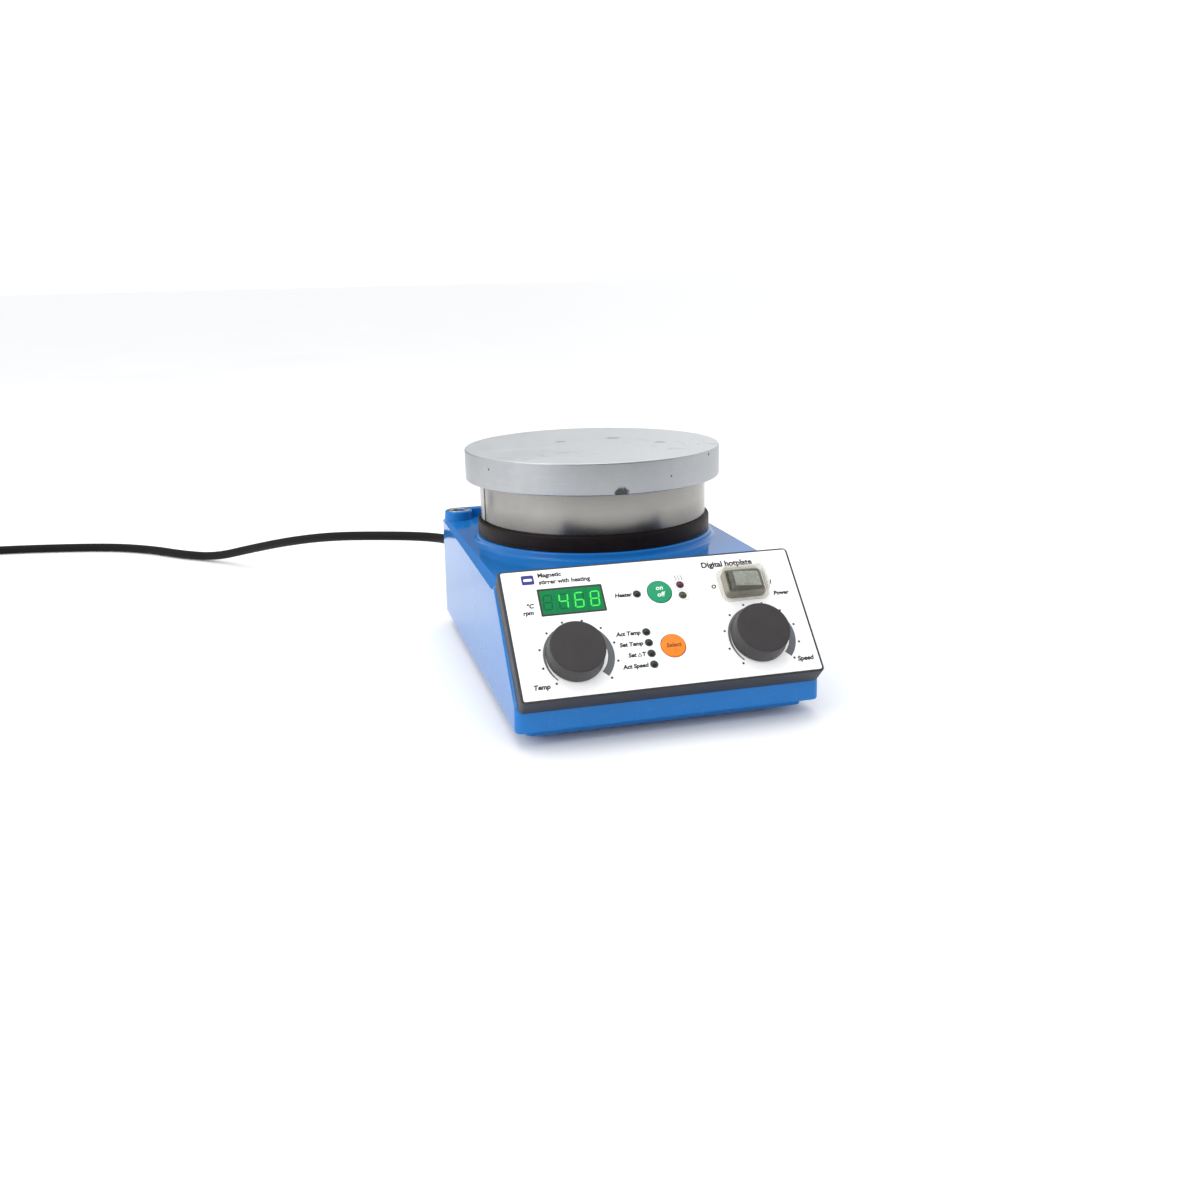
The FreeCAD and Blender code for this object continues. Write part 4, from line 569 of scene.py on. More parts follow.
def make_label_finish():
    """Printed white film with faint greyish wiping marks."""
    made = Finish("label_film", IOR=1.45)
    patches = made.group(mottle_group, Scale=18.0, Spread=0.25)["Mask"]
    specks = made.group(speck_group, Scale=1400.0, Cover=0.25)["Mask"]
    tint = made.mix(patches, colour((0.93, 0.935, 0.94)), colour((0.955, 0.957, 0.96)))
    tint = made.mix(made.math("MULTIPLY", specks, 0.35), tint, colour((0.6, 0.6, 0.6)))
    made.set("Base Color", tint)
    made.set("Roughness", made.span(patches, 0.0, 1.0, 0.34, 0.46))
    made.bump(made.noise(made.where, 1800.0, 2.0), 0.10, 0.00002)
    return made.material


def make_boot_finish():
    """Clear silicone, yellowed and cloudy: thin when seen straight through, milky at its edges."""
    made = Finish("clear_boot", IOR=1.40)
    patches = made.group(mottle_group, Scale=130.0, Spread=0.2)["Mask"]
    tint = made.mix(patches, colour((0.66, 0.62, 0.46)), colour((0.80, 0.76, 0.61)))
    made.set("Base Color", tint)
    made.set("Roughness", made.span(patches, 0.0, 1.0, 0.10, 0.20))
    made.bump(made.noise(made.where, 350.0, 3.0), 0.3, 0.0001)
    facing = made.add("LayerWeight", {"Blend": 0.5}).outputs["Facing"]
    cloud = made.math("ADD", made.span(facing, 0.2, 0.95, 0.03, 0.45),
                      made.math("MULTIPLY", patches, 0.03))
    made.set("Alpha", cloud)
    return made.material


def make_window_finish():
    """Green filter pane over the digits, with faint patches of lighter and darker green."""
    made = Finish("display_filter", IOR=1.45, Roughness=0.2, Specular_IOR_Level=0.1)
    patches = made.group(mottle_group, Scale=160.0, Spread=0.3)["Mask"]
    made.set("Base Color", made.mix(patches, colour((0.008, 0.185, 0.058)),
                                    colour((0.012, 0.215, 0.072))))
    made.bump(made.noise(made.where, 900.0, 2.0), 0.1, 0.00002)
    return made.material


def glowing(name, base, light, strength):
    """Lit print: a plain plastic that also gives out light in faint patches."""
    made = Finish(name, Roughness=0.4, Emission_Strength=strength)
    patches = made.group(mottle_group, Scale=300.0, Spread=0.3)["Mask"]
    dimmer = tuple(value * 0.8 for value in light)
    made.set("Base Color", colour(base))
    made.set("Emission Color", made.mix(patches, colour(dimmer), colour(light)))
    return made.material


finishes = {
    "blue_paint": make_paint_finish(),
    "plate_aluminium": make_plate_finish(),
    "skirt_steel": make_skirt_finish(),
    "label_film": make_label_finish(),
    "clear_boot": make_boot_finish(),
    "display_filter": make_window_finish(),
    "black_rubber": plain("black_rubber", (0.009, 0.005, 0.005), (0.016, 0.010, 0.010),
                          (0.42, 0.58), specks=0.15, speck_colour=(0.12, 0.10, 0.09),
                          Specular_IOR_Level=0.15),
    "zinc_screw": turned_metal("zinc_screw", (0.5, 0.49, 0.46), (0.68, 0.67, 0.64),
                               (0.3, 0.45)),
    "turned_steel": turned_metal("turned_steel", (0.46, 0.46, 0.46), (0.66, 0.66, 0.65),
                                 (0.24, 0.4)),
    "bezel_plastic": plain("bezel_plastic", (0.024, 0.025, 0.030), (0.033, 0.034, 0.040),
                           (0.46, 0.6), grain=2600.0, grain_depth=0.00004, specks=0.15,
                           speck_colour=(0.2, 0.2, 0.2)),
    "display_case": plain("display_case", (0.02, 0.03, 0.025), (0.03, 0.04, 0.035),
                          (0.4, 0.5)),
    "circuit_board": plain("circuit_board", (0.01, 0.12, 0.05), (0.02, 0.2, 0.08),
                           (0.3, 0.4)),
    "black_parts": plain("black_parts", (0.02, 0.02, 0.02), (0.03, 0.03, 0.03), (0.4, 0.5)),
    "led_lens": plain("led_lens", (0.010, 0.018, 0.013), (0.016, 0.026, 0.020), (0.14, 0.22),
                      grain=900.0, Specular_IOR_Level=0.4),
    "green_key": plain("green_key", (0.006, 0.275, 0.12), (0.012, 0.315, 0.145),
                       (0.34, 0.46), scale=150.0, Specular_IOR_Level=0.3),
    "orange_key": plain("orange_key", (0.83, 0.20, 0.012), (0.90, 0.235, 0.02),
                        (0.34, 0.46), scale=150.0, Specular_IOR_Level=0.3),
    "knob_plastic": plain("knob_plastic", (0.026, 0.023, 0.025), (0.033, 0.029, 0.031),
                          (0.42, 0.54), scale=90.0, grain=2300.0, grain_depth=0.00003,
                          specks=0.18, speck_colour=(0.22, 0.21, 0.21)),
    "switch_plastic": plain("switch_plastic", (0.022, 0.022, 0.023), (0.035, 0.035, 0.036),
                            (0.35, 0.5)),
    "rocker_lens": plain("rocker_lens", (0.020, 0.023, 0.020), (0.034, 0.038, 0.034),
                         (0.25, 0.38), scale=120.0),
    "ceramic_part": plain("ceramic_part", (0.75, 0.73, 0.68), (0.85, 0.83, 0.78),
                          (0.5, 0.7)),
    "fibre_board": plain("fibre_board", (0.8, 0.78, 0.72), (0.9, 0.88, 0.82), (0.7, 0.9)),
    "copper_winding": plain("copper_winding", (0.5, 0.2, 0.08), (0.65, 0.3, 0.14),
                            (0.25, 0.4), Metallic=0.8),
    "magnet_nickel": plain("magnet_nickel", (0.6, 0.58, 0.55), (0.7, 0.68, 0.65),
                           (0.15, 0.25), Metallic=1.0),
    "cord_rubber": plain("cord_rubber", (0.003, 0.003, 0.003), (0.005, 0.005, 0.005),
                         (0.42, 0.55), specks=0.12, speck_colour=(0.06, 0.06, 0.06),
                         Specular_IOR_Level=0.15),
    "plug_plastic": plain("plug_plastic", (0.015, 0.015, 0.015), (0.024, 0.024, 0.024),
                          (0.4, 0.52), grain=2200.0, grain_depth=0.00004),
    "pin_metal": plain("pin_metal", (0.66, 0.64, 0.58), (0.78, 0.76, 0.7), (0.18, 0.3),
                       Metallic=1.0),
}
ink_black = plain("ink_black", (0.012, 0.012, 0.014), (0.03, 0.03, 0.032), (0.4, 0.5))
ink_grey = plain("ink_grey", (0.115, 0.125, 0.14), (0.14, 0.15, 0.165), (0.4, 0.5))
ink_navy = plain("ink_navy", (0.015, 0.02, 0.20), (0.025, 0.03, 0.26), (0.4, 0.5))
ink_white = plain("ink_white", (0.85, 0.87, 0.86), (0.92, 0.93, 0.92), (0.4, 0.5))
ink_brown = plain("ink_brown", (0.16, 0.035, 0.006), (0.2, 0.05, 0.01), (0.4, 0.5))
segment_lit = glowing("segment_lit", (0.02, 0.5, 0.05), (0.05, 0.95, 0.10), 0.55)
segment_dark = plain("segment_dark", (0.006, 0.11, 0.04), (0.008, 0.125, 0.045), (0.2, 0.3),
                     Specular_IOR_Level=0.1)
lens_red = plain("lens_red", (0.075, 0.010, 0.010), (0.10, 0.014, 0.012), (0.14, 0.22))
lens_olive = plain("lens_olive", (0.050, 0.045, 0.010), (0.062, 0.055, 0.013), (0.14, 0.22))
# A paler copy of the rocker's own colour: painted light for the rocker's top pane.
rocker_glass = plain("rocker_glass", (0.20, 0.225, 0.195), (0.28, 0.305, 0.275), (0.2, 0.34),
                     scale=120.0)

for part in frame["record"]["subparts"]:
    materials = frame["nodes"][part["node"]].data.materials
    materials.clear()
    materials.append(finishes[part["material_slot"]])


# ---- Mains lead ----------------------------------------------------------------------------
cord_diameter = 6.5
lead_route = [
    (-62.0, 150.415, 41.0),
    (-62.0, 172.0, 41.0),
    (-78.5, 199.0, 39.5),
    (-112.0, 219.0, 38.5),
    (-143.0, 245.0, 35.0),
    (-172.0, 277.0, 27.0),
    (-201.0, 314.0, 15.5),
    (-229.0, 347.0, 4.0),
    (-255.0, 367.0, 3.5),
    (-281.0, 396.0, 3.5),
    (-313.0, 418.0, 3.5),
    (-352.0, 430.0, 3.5),
    (-392.0, 439.0, 3.5),
    (-434.0, 444.0, 3.5),
]
tail_route = [
    (-520.4, 509.0, 9.9),
    (-517.0, 532.0, 14.0),
    (-515.0, 552.0, 18.5),
    (-515.0, 570.0, 18.5),
]
coil_centre = (-475.0, 489.0)
coil_turns = 5.25
coil_outer = 44.3


def coil_route():
    """Two layers of turns: inwards along the floor, then outwards on top of them.

    The angle falls steadily over all the turns. The radius falls by one cord diameter a turn to
    the half-way point and then grows again, and the height rises from layer to layer there.
    The smooth curve runs a little inside its points, so the circle is divided by that pull.
    """
    count = int(16 * coil_turns)
    share = np.arange(count + 1) / count
    angle = -np.pi / 2.0 - 2.0 * np.pi * coil_turns * share
    fold = np.abs(share - 0.5) * 2.0
    radius = coil_outer - (1.0 - fold) * coil_turns / 2.0 * (cord_diameter + 0.05)
    step = np.clip((share - 0.5) * coil_turns * 2.2 + 0.5, 0.0, 1.0)
    floor_layer, layer_rise = 3.5, 6.4
    height = floor_layer + (step * step * (3.0 - 2.0 * step)) * layer_rise
    pull = 0.987
    x = coil_centre[0] + radius * np.cos(angle) / pull
    y = coil_centre[1] + radius * np.sin(angle) / pull
    return np.column_stack([x, y, height])


def make_lead():
    """Round lead along its route, round the coil and on to the plug."""
    route = np.concatenate([lead_route, coil_route(), tail_route]) * MM
    curve = bpy.data.curves.new("mains_lead", "CURVE")
    curve.dimensions = "3D"
    spline = curve.splines.new("NURBS")
    spline.points.add(len(route) - 1)
    spline.points.foreach_set("co", np.column_stack([route, np.ones(len(route))]).ravel())
    spline.order_u = 3
    spline.use_endpoint_u = True
    curve.resolution_u = 5
    curve.bevel_depth = cord_diameter / 2.0 * MM
    curve.bevel_resolution = 6
    curve.use_fill_caps = True
    curve.materials.append(finishes["cord_rubber"])
    lead = bpy.data.objects.new("mains_lead", curve)
    bpy.context.scene.collection.objects.link(lead)
    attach(lead, "root")
    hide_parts("cord_lead", "cord_coil", "cord_tail")
    return lead


def along_y(points):
    """Points turned about Z moved so that their axis runs along +Y."""
    return points[:, [0, 2, 1]]


def make_strain_relief():
    """Tapered sleeve where the lead leaves, with five grooves cut round it."""
    low, high = cad("strain_relief")
    length = high[1] - low[1]
    t = np.linspace(0.0, 1.0, 91)
    groove_count, groove_depth = 5.0, 0.7
    root_radius, taper = 5.5, 1.4
    groove = np.clip(np.sin(t * groove_count * 2.0 * np.pi) * 3.0 - 1.2, 0.0, 1.0) * (t > 0.1)
    radius = root_radius - taper * t - groove_depth * groove * (t < 0.95)
    wall = np.column_stack([radius, t * length])
    profile = np.concatenate([[(3.2, 0.0)], wall, [(3.3, length)]])
    shape = turned(profile, 48)
    middle = (low + high) / 2.0
    place = along_y(shape[0]) + np.array([middle[0], low[1], middle[2]])
    return piece("lead_relief", (place, shape[1]), "root", "cord_rubber",
                 stands_for=["strain_relief"])


def make_plug():
    """Moulded plug: ribbed grip, shoulder and face, in line with the lead's end."""
    low, high = cad("mains_plug")
    t = np.linspace(0.0, 1.0, 61)[:, None]
    rib_count, rib_height = 8.0, 0.45
    relief_length, face_radius, end = 22.0, 18.4, 55.5
    relief = np.concatenate([4.6 + 3.2 * t, relief_length * t], 1)
    relief[:, 0:1] += rib_height * np.sin(t * rib_count * 2.0 * np.pi) * (t < 0.9)
    body = rounded([(7.8, relief_length), (12.5, 25.0), (16.0, 38.0), (face_radius, 42.0),
                    (face_radius, end), (14.0, end), (0.0, end)], [0, 2, 3, 2, 1.2, 0, 0])
    shape = turned(np.concatenate([[(0.0, 0.0)], relief, body]), 64)
    middle = (low + high) / 2.0
    place = along_y(shape[0]) + np.array([middle[0], low[1], 18.6])
    return piece("plug_body", (place, shape[1]), "root", "plug_plastic",
                 stands_for=["mains_plug"])


def make_coil_tie():
    """Flat tie round the coil's turns, with its buckle on top."""
    near, far, height, half = 25.6, 48.6, 14.0, 3.0
    profile = rounded([(near, 0.05), (far, 0.05), (far, height), (near, height)], [2.5] * 4)
    inner = rounded([(26.3, 0.2), (47.8, 0.2), (47.8, 13.3), (26.3, 13.3)], [2.2] * 4)
    count = len(profile)
    rings = [np.column_stack([loop[:, 0], np.full(count, side), loop[:, 1]])
             for loop, side in ((profile, -half), (profile, half), (inner, half), (inner, -half))]
    band = np.concatenate(rings), grid_faces(4, count, True)
    buckle = carried(rounded([(0.0, 0.0), (0.0, 1.6), (0.8, 1.9)], [0, 0.4, 0]), 4.0, 2.6, 0.8)
    buckle = moved(buckle, 37.0, 0.0, 13.6)
    points, faces = together([band, buckle])
    turn = math.radians(195.0)
    spin = np.array([[math.cos(turn), math.sin(turn), 0.0],
                     [-math.sin(turn), math.cos(turn), 0.0], [0.0, 0.0, 1.0]])
    place = points @ spin + np.array([coil_centre[0], coil_centre[1], 0.0])
    return piece("coil_tie", (place, faces), "root", "plug_plastic")


lead = make_lead()
relief = make_strain_relief()
plug = make_plug()
tie = make_coil_tie()


# ---- Housing -------------------------------------------------------------------------------
def deck_height(y):
    """Height of the housing's upper side at y: slanted in front, level behind, crease rounded.

    It is the smaller of the two planes, joined by a soft minimum whose blend is in millimetres.
    """
    slanted = lip_z + (y - front_y) * slant
    blend = 1.5
    return deck_z - blend * np.logaddexp(0.0, (deck_z - slanted) / blend)


def housing_outline():
    """Outline of the housing seen from above, with rounded corners.

    Its points are about 3 mm apart, and 0.6 mm apart along the sides near the crease.
    """
    end_count, corner_count, rear_count = int(half_width / 1.6), 9, 60
    radius = housing_corner
    reach_x, reach_y = half_width - radius, housing_depth / 2.0 - radius
    crease = crease_y - housing_middle
    crease_zone, coarse, fine = 9.0, 2.5, 0.6
    up = np.concatenate([np.arange(-reach_y, crease - crease_zone, coarse),
                         np.arange(crease - crease_zone, crease + crease_zone, fine),
                         np.linspace(crease + crease_zone, reach_y, rear_count)])
    side_count = len(up)
    out = np.linspace(-reach_x, reach_x, end_count)
    arc = np.linspace(0.0, np.pi / 2.0, corner_count)[1:-1]
    runs = [(np.full(side_count, half_width), up),
            (reach_x + radius * np.cos(arc), reach_y + radius * np.sin(arc)),
            (out[::-1], np.full(end_count, housing_depth / 2.0)),
            (-reach_x - radius * np.sin(arc), reach_y + radius * np.cos(arc)),
            (np.full(side_count, -half_width), up[::-1]),
            (-reach_x - radius * np.cos(arc), -reach_y - radius * np.sin(arc)),
            (out, np.full(end_count, -housing_depth / 2.0)),
            (reach_x + radius * np.sin(arc), -reach_y - radius * np.cos(arc))]
    x = np.concatenate([run[0] for run in runs])
    y = np.concatenate([run[1] for run in runs]) + housing_middle
    return x, y


def housing_shell():
    """Walls, bevel, deck and collar as one grid.

    Columns follow the outline. Rows go in under the bottom flange, up the wall, over a bevel
    that widens towards the front, across the deck to a circle about the plate's axis, closer
    together at the crease, and up the collar's turned profile.
    """
    x, y = housing_outline()
    corner = housing_corner
    inward_x = -np.clip((np.abs(x) - (half_width - corner)) / corner, 0.0, 1.0) * np.sign(x)
    inward_y = -np.clip((np.abs(y - housing_middle) - (housing_depth / 2.0 - corner)) / corner,
                        0.0, 1.0) * np.sign(y - housing_middle)
    back_share = np.clip((back_y - y) / (back_y - crease_y), 0.0, 1.0)
    on_side = np.clip((np.abs(x) - half_width + 2.0) / 2.0, 0.0, 1.0)
    slope_bevel, deck_bevel, side_growth, ramp_length = 0.9, 1.3, 2.2, 6.0
    wide = deck_bevel + (side_growth * back_share) * on_side
    ramp = np.clip((y - crease_y) / ramp_length, 0.0, 1.0)
    bevel = slope_bevel + (wide - slope_bevel) * ramp
    softening = 0.6
    draft = side_draft / half_width / (deck_z - housing_low[2])

    def ring(inset, height):
        """Outline moved in by inset, at that height, with the side walls' lean."""
        lean = 1.0 - draft * (np.maximum(height, housing_low[2]) - housing_low[2])
        return np.stack([(x + inward_x * inset) * lean, y + inward_y * inset,
                         height + 0.0 * x], -1)

    low = housing_low[2]
    rows = [ring(inset, low + 0.0 * x) for inset in (6.2, 1.2, 0.6)]
    rows += [ring(inset, low + rise + 0.0 * x)
             for inset, rise in ((0.25, 0.15), (0.05, 0.5), (0.0, 1.0))]
    wall_top = deck_height(y) - bevel - softening
    rows += [ring(0.0, low + 1.0 + (wall_top - low - 1.0) * share)
             for share in np.linspace(0.0, 1.0, 10)[1:]]
    for t in np.linspace(0.0, 1.0, 11)[1:]:
        inset = bevel * np.clip(t * 1.25 - 0.12, 0.0, 1.0) + 0.5 * t * t
        drop = (bevel + softening) * (1.0 - np.clip(t * 1.12, 0.0, 1.0) ** 1.15)
        place = ring(inset, deck_height(y) - drop)
        place[:, 2] = deck_height(place[:, 1]) - drop
        rows.append(place)
    edge = rows[-1]
    angle = np.arctan2(edge[:, 1] - plate_y, edge[:, 0])
    collar_top, mouth = deck_z + 4.5, 60.0
    collar = rounded([(71.5, deck_z), (68.2, deck_z), (68.0, collar_top), (mouth, collar_top),
                      (mouth, deck_z - 3.0)], [0.0, 2.6, 1.1, 1.0, 0.0], 8)[8:]
    foot = np.stack([collar[0, 0] * np.cos(angle), plate_y + collar[0, 0] * np.sin(angle),
                     np.full(len(angle), deck_z)], -1)
    run = np.maximum(np.abs(foot[:, 1] - edge[:, 1]), 1.0)
    near = np.clip(6.0 / run, 0.02, 0.3)
    crossing = np.where(edge[:, 1] < crease_y, (crease_y - edge[:, 1]) / run, 0.0)
    crossing = np.clip(crossing, near + 0.02, 0.97 - near)
    steps = [(crossing - near) * part for part in np.linspace(0.0, 1.0, 7)[1:]]
    steps += [crossing + near * part for part in np.linspace(-1.0, 1.0, 25)[1:]]
    steps += [crossing + near + (1.0 - crossing - near) * part
              for part in np.linspace(0.0, 1.0, 15)[1:]]
    for step in steps:
        share = step[:, None]
        place = edge * (1.0 - share) + foot * share
        place[:, 2] = deck_height(place[:, 1])
        rows.append(place)
    rows += [np.stack([radius * np.cos(angle), plate_y + radius * np.sin(angle),
                       np.full(len(angle), height)], -1) for radius, height in collar[1:]]
    grid = np.array(rows)
    return grid.reshape(-1, 3), grid_faces(len(rows), len(x))


def make_housing():
    """Cast housing's skin, given the casting's thickness inwards."""
    shell = piece("housing_casting", housing_shell(), "root", "blue_paint",
                  stands_for=["upper_housing"])
    wall = shell.modifiers.new("wall", "SOLIDIFY")
    wall.thickness = 2.2 * MM
    wall.offset = -1.0


def make_rod_boss():
    """Boss for the support rod, flared into the deck, and the rail along the back edge."""
    low, high = cad("rod_socket")
    middle = (low + high) / 2.0
    top = housing_high[2]
    boss = turned(rounded([(0.0, deck_z - 4.0), (9.2, deck_z - 4.0), (9.0, deck_z + 0.1),
                           (8.4, top), (6.8, top), (6.8, top - 4.0), (0.0, top - 4.0)],
                          [0, 0, 2.0, 1.1, 0.2, 0, 0]), 64)
    boss = moved(boss, middle[0], middle[1])
    rail_y = middle[1] + 8.5 - 3.0
    rail = carried(rounded([(0.0, deck_z - 3.0), (0.0, top), (2.9, top)], [0, 1.1, 0]),
                   -middle[0], 3.0, 2.95)
    rail = moved(rail, 0.0, rail_y)
    piece("rear_rail", together([boss, rail]), "root", "blue_paint")
    bore, rim, thread_depth, thread_turns, thread_length = 4.25, 6.75, 0.35, 8.0, 11.0
    bush = turned(rounded([(bore, high[2] - 12.0), (bore, high[2] - 0.1), (rim, high[2]),
                           (rim, high[2] - 12.0)], [0, 0.5, 0.4, 0], 5), 64)
    t = np.linspace(0.0, 1.0, 81)
    threads = turned(np.column_stack([
        bore - thread_depth * np.abs(((t * thread_turns) % 1.0) - 0.5) * 2.0,
        high[2] - 0.8 - t * thread_length]), 48)
    floor = turned([(4.4, high[2] - 11.6), (0.0, high[2] - 11.6)], 48)
    piece("rod_bush", moved(together([bush, threads, floor]), middle[0], middle[1]), "root",
          "turned_steel", stands_for=["rod_socket"])


def make_head():
    """Plate, skirt with its lapped seam, and the rubber ring round its foot."""
    top, low = plate_high[2], plate_low[2]
    edge = plate_radius
    recess_radius, recess_top = 61.8, low + 9.0
    plate = turned(rounded([(0.0, recess_top), (recess_radius, recess_top), (recess_radius, low),
                            (edge, low), (edge, top), (0.0, top)],
                           [0.0, 0.5, 0.3, 0.7, 0.9, 0.0], 7), 256)
    piece("plate_disc", plate, "root", "plate_aluminium", on_plate_axis, ["top_plate"])
    base = skirt_low[2]
    skirt = turned(rounded([(61.4, base + 0.1), (skirt_radius, base + 0.1),
                            (skirt_radius, low - 0.05), (61.6, low - 0.05),
                            (61.6, low - 0.9), (63.7, low - 0.9), (63.7, base + 0.9),
                            (61.4, base + 0.9)],
                           [0, 0.4, 0.5, 0, 0, 0.4, 0.4, 0], 5), 256)
    lap_angle = np.radians(np.linspace(155.5, 185.5, 40))
    lap_in, lap_out, lap_foot = skirt_radius - 0.1, skirt_radius + 0.36, ring_high[2] + 0.2
    lap_profile = np.array([(lap_in, lap_foot), (lap_out, lap_foot), (lap_out, low - 0.3),
                            (lap_in, low - 0.3)])
    radius, height = lap_profile[:, 0][:, None], lap_profile[:, 1][:, None]
    lap = np.stack([radius * np.cos(lap_angle), radius * np.sin(lap_angle),
                    height + 0 * lap_angle], -1)
    count = len(lap_angle)
    lap_faces = [[row * count + i, row * count + i + 1, (row + 1) % 4 * count + i + 1,
                  (row + 1) % 4 * count + i] for row in range(4) for i in range(count - 1)]
    lap_faces += [[0, count, 2 * count, 3 * count],
                  [4 * count - 1, 3 * count - 1, 2 * count - 1, count - 1]]
    piece("skirt_band", together([skirt, (lap.reshape(-1, 3), lap_faces)]), "root",
          "skirt_steel", on_plate_axis, ["skirt"])
    z0, z1 = ring_low[2], ring_high[2]
    out = (ring_high[0] - ring_low[0]) / 2.0
    ring = turned(rounded([(skirt_radius + 0.05, z0), (out - 0.1, z0), (out - 0.15, z0 + 1.6),
                           (out, z0 + 2.2), (out, z1 - 0.9), (out - 0.7, z1),
                           (skirt_radius + 0.05, z1)], [0, 0.5, 0.3, 0.4, 0.7, 0.5, 0]), 256)
    piece("foot_seal", ring, "root", "black_rubber", on_plate_axis, ["seal_ring"])


# ---- Control panel -------------------------------------------------------------------------
row_heights = [dial_v + (1.5 - row) * lens_pitch for row in range(4)]
led_places = [(lens_u, upper_v), (alarm_u, upper_v + alarm_rise), (alarm_u, upper_v - alarm_rise)]
led_places += [(lens_u, height) for height in row_heights]
display_u, display_half_u, display_half_v = -42.1, 16.25, 7.5


def panel_holes(spare):
    """Outlines of everything that comes through the panel's face."""
    holes = [ring_points(lens_opening + spare, u, v, 24) for u, v in led_places]
    holes += [ring_points(key_opening + spare, key_u, v) for v in (upper_v, dial_v)]
    holes += [ring_points(dial_opening + spare, u, dial_v, 32) for u in (-dial_u, dial_u)]
    holes.append(rect_points(display_half_u + 0.1 + spare, display_half_v + 0.1 + spare, 0.4,
                             display_u, upper_v))
    holes.append(rect_points(9.7 + spare, 6.55 + spare, 0.4, dial_u, upper_v))
    return holes


def make_bezel():
    """Moulded frame with a rounded front edge, and its face plate with the openings."""
    half_v = panel_length / 2.0
    rim = carried(rounded([(0.0, 0.1), (0.0, bezel_w), (2.4, bezel_w), (2.4, 0.1)],
                          [0.3, 0.6, 0.3, 0.3]), panel_half, half_v, 2.5, 10, True)
    rim = moved(rim, 0.0, half_v)
    plate = sheet_of([rect_points(panel_half - 1.6, half_v - 1.6, 1.6, 0.0, half_v)]
                     + panel_holes(0.05), bezel_w - 2.4, bezel_w - 0.06)
    piece("bezel_frame", together([rim, plate]), "root", "bezel_plastic", on_panel,
          ["front_bezel"])
    film = sheet_of([rect_points(panel_half - 1.4, half_v - 1.3, 1.0, 0.0, half_v)]
                    + panel_holes(0.0), bezel_w - 0.05, face_w)
    piece("panel_film", film, "root", "label_film", on_panel, ["panel_label"])


def scale_outlines(u, v, grow):
    """Crescent of a dial's scale: it widens clockwise from lower left to lower right."""
    turn = np.radians(np.linspace(47.0 - grow * 2.0, 315.0 + grow * 2.0, 90))
    share = np.linspace(0.0, 1.0, 90)
    outer = np.full(90, 17.1 + grow)
    inner = 16.85 - 3.15 * share - grow
    reach = np.concatenate([outer, inner[::-1]])
    turn = np.concatenate([turn, turn[::-1]])
    return np.column_stack([u - reach * np.sin(turn), v - reach * np.cos(turn)])


def wave_outline(u, v):
    """Small upright wavy stroke."""
    t = np.linspace(0.0, 1.0, 24)
    middle = u + 0.35 * np.sin(t * 2.0 * np.pi)
    left = np.column_stack([middle - 0.17, v + 2.6 * t])
    right = np.column_stack([middle + 0.17, v + 2.6 * t])
    return np.concatenate([left, right[::-1]])


def make_print():
    """Words, dots, scales and small signs printed on the film."""
    low, high = face_w - 0.05, face_w + 0.05
    words = [("°C", -63.2, 50.6, 3.3), ("rpm", -64.6, 47.0, 3.1), ("Temp", -65.1, 7.5, 3.4),
             ("Speed", 67.6, 7.8, 3.4), ("Heater", -16.2, upper_v, 3.0), ("O", 31.0, 52.1, 3.0),
             ("I", 61.5, 52.0, 3.0), ("Power", 65.4, 45.3, 3.0)]
    black = [letters(text, u, v, size, low, high, weight=0.15) for text, u, v, size in words]
    word_end = -12.1
    names = ("Act Temp", "Set Temp", "Set", "Act Speed")
    ends = (word_end, word_end, word_end - 4.8, word_end)
    black += [letters(text, end, height, 3.0, low, high, "RIGHT", weight=0.15)
              for text, end, height in zip(names, ends, row_heights)]
    delta_v = row_heights[2]
    black.append(letters("T", word_end, delta_v, 3.0, low, high, "RIGHT", weight=0.15))
    delta = np.array([(-16.3, -1.05), (-13.9, -1.05), (-14.8, 1.15)])
    inner_delta = np.array([(-15.75, -0.75), (-14.45, -0.75), (-14.92, 0.42)])
    black.append(sheet_of([delta + (0.0, delta_v), inner_delta + (0.0, delta_v)], low, high))
    black += [letters("Magnetic", -56.6, 67.2, 3.3, low, high, "LEFT", 0.0, 0.13),
              letters("stirrer with heating", -56.6, 63.3, 3.3, low, high, "LEFT", 0.0, 0.13),
              letters("Digital hotplate", 27.5, 64.8, 4.4, low, high, "LEFT", 0.0, 0.17)]
    grey = []
    dot_circle = 18.94
    for u in (-dial_u + 2.1, dial_u + 2.1):
        for turn in np.radians(45.0 + 30.0 * np.arange(10)):
            dot = ring_points(0.58, u - dot_circle * math.sin(turn),
                              dial_v - dot_circle * math.cos(turn), 16)
            black.append(sheet_of([dot], low, high))
        black.append(sheet_of([scale_outlines(u, dial_v, 0.16)], low, high - 0.02))
        grey.append(sheet_of([scale_outlines(u, dial_v, 0.0)], low, high))
    for row in (alarm_rise, -alarm_rise):
        square = [rect_points(2.75, 2.75, 0.3, alarm_u, upper_v + row),
                  rect_points(2.6, 2.6, 0.2, alarm_u, upper_v + row)]
        grey.append(sheet_of(square, low, high))
    black += [sheet_of([wave_outline(alarm_u + shift, upper_v + 5.9)], low, high)
              for shift in (-1.5, 0.0, 1.5)]
    piece("panel_print", together(black), "root", "label_film", on_panel, finish=ink_black)
    piece("dial_bands", together(grey), "root", "label_film", on_panel, finish=ink_grey)
    bar = [rect_points(3.1, 2.6, 0.8, -61.8, 65.2), rect_points(2.2, 0.75, 0.7, -61.8, 65.2)]
    piece("corner_sign", sheet_of(bar, low, high), "root", "label_film", on_panel,
          finish=ink_navy)


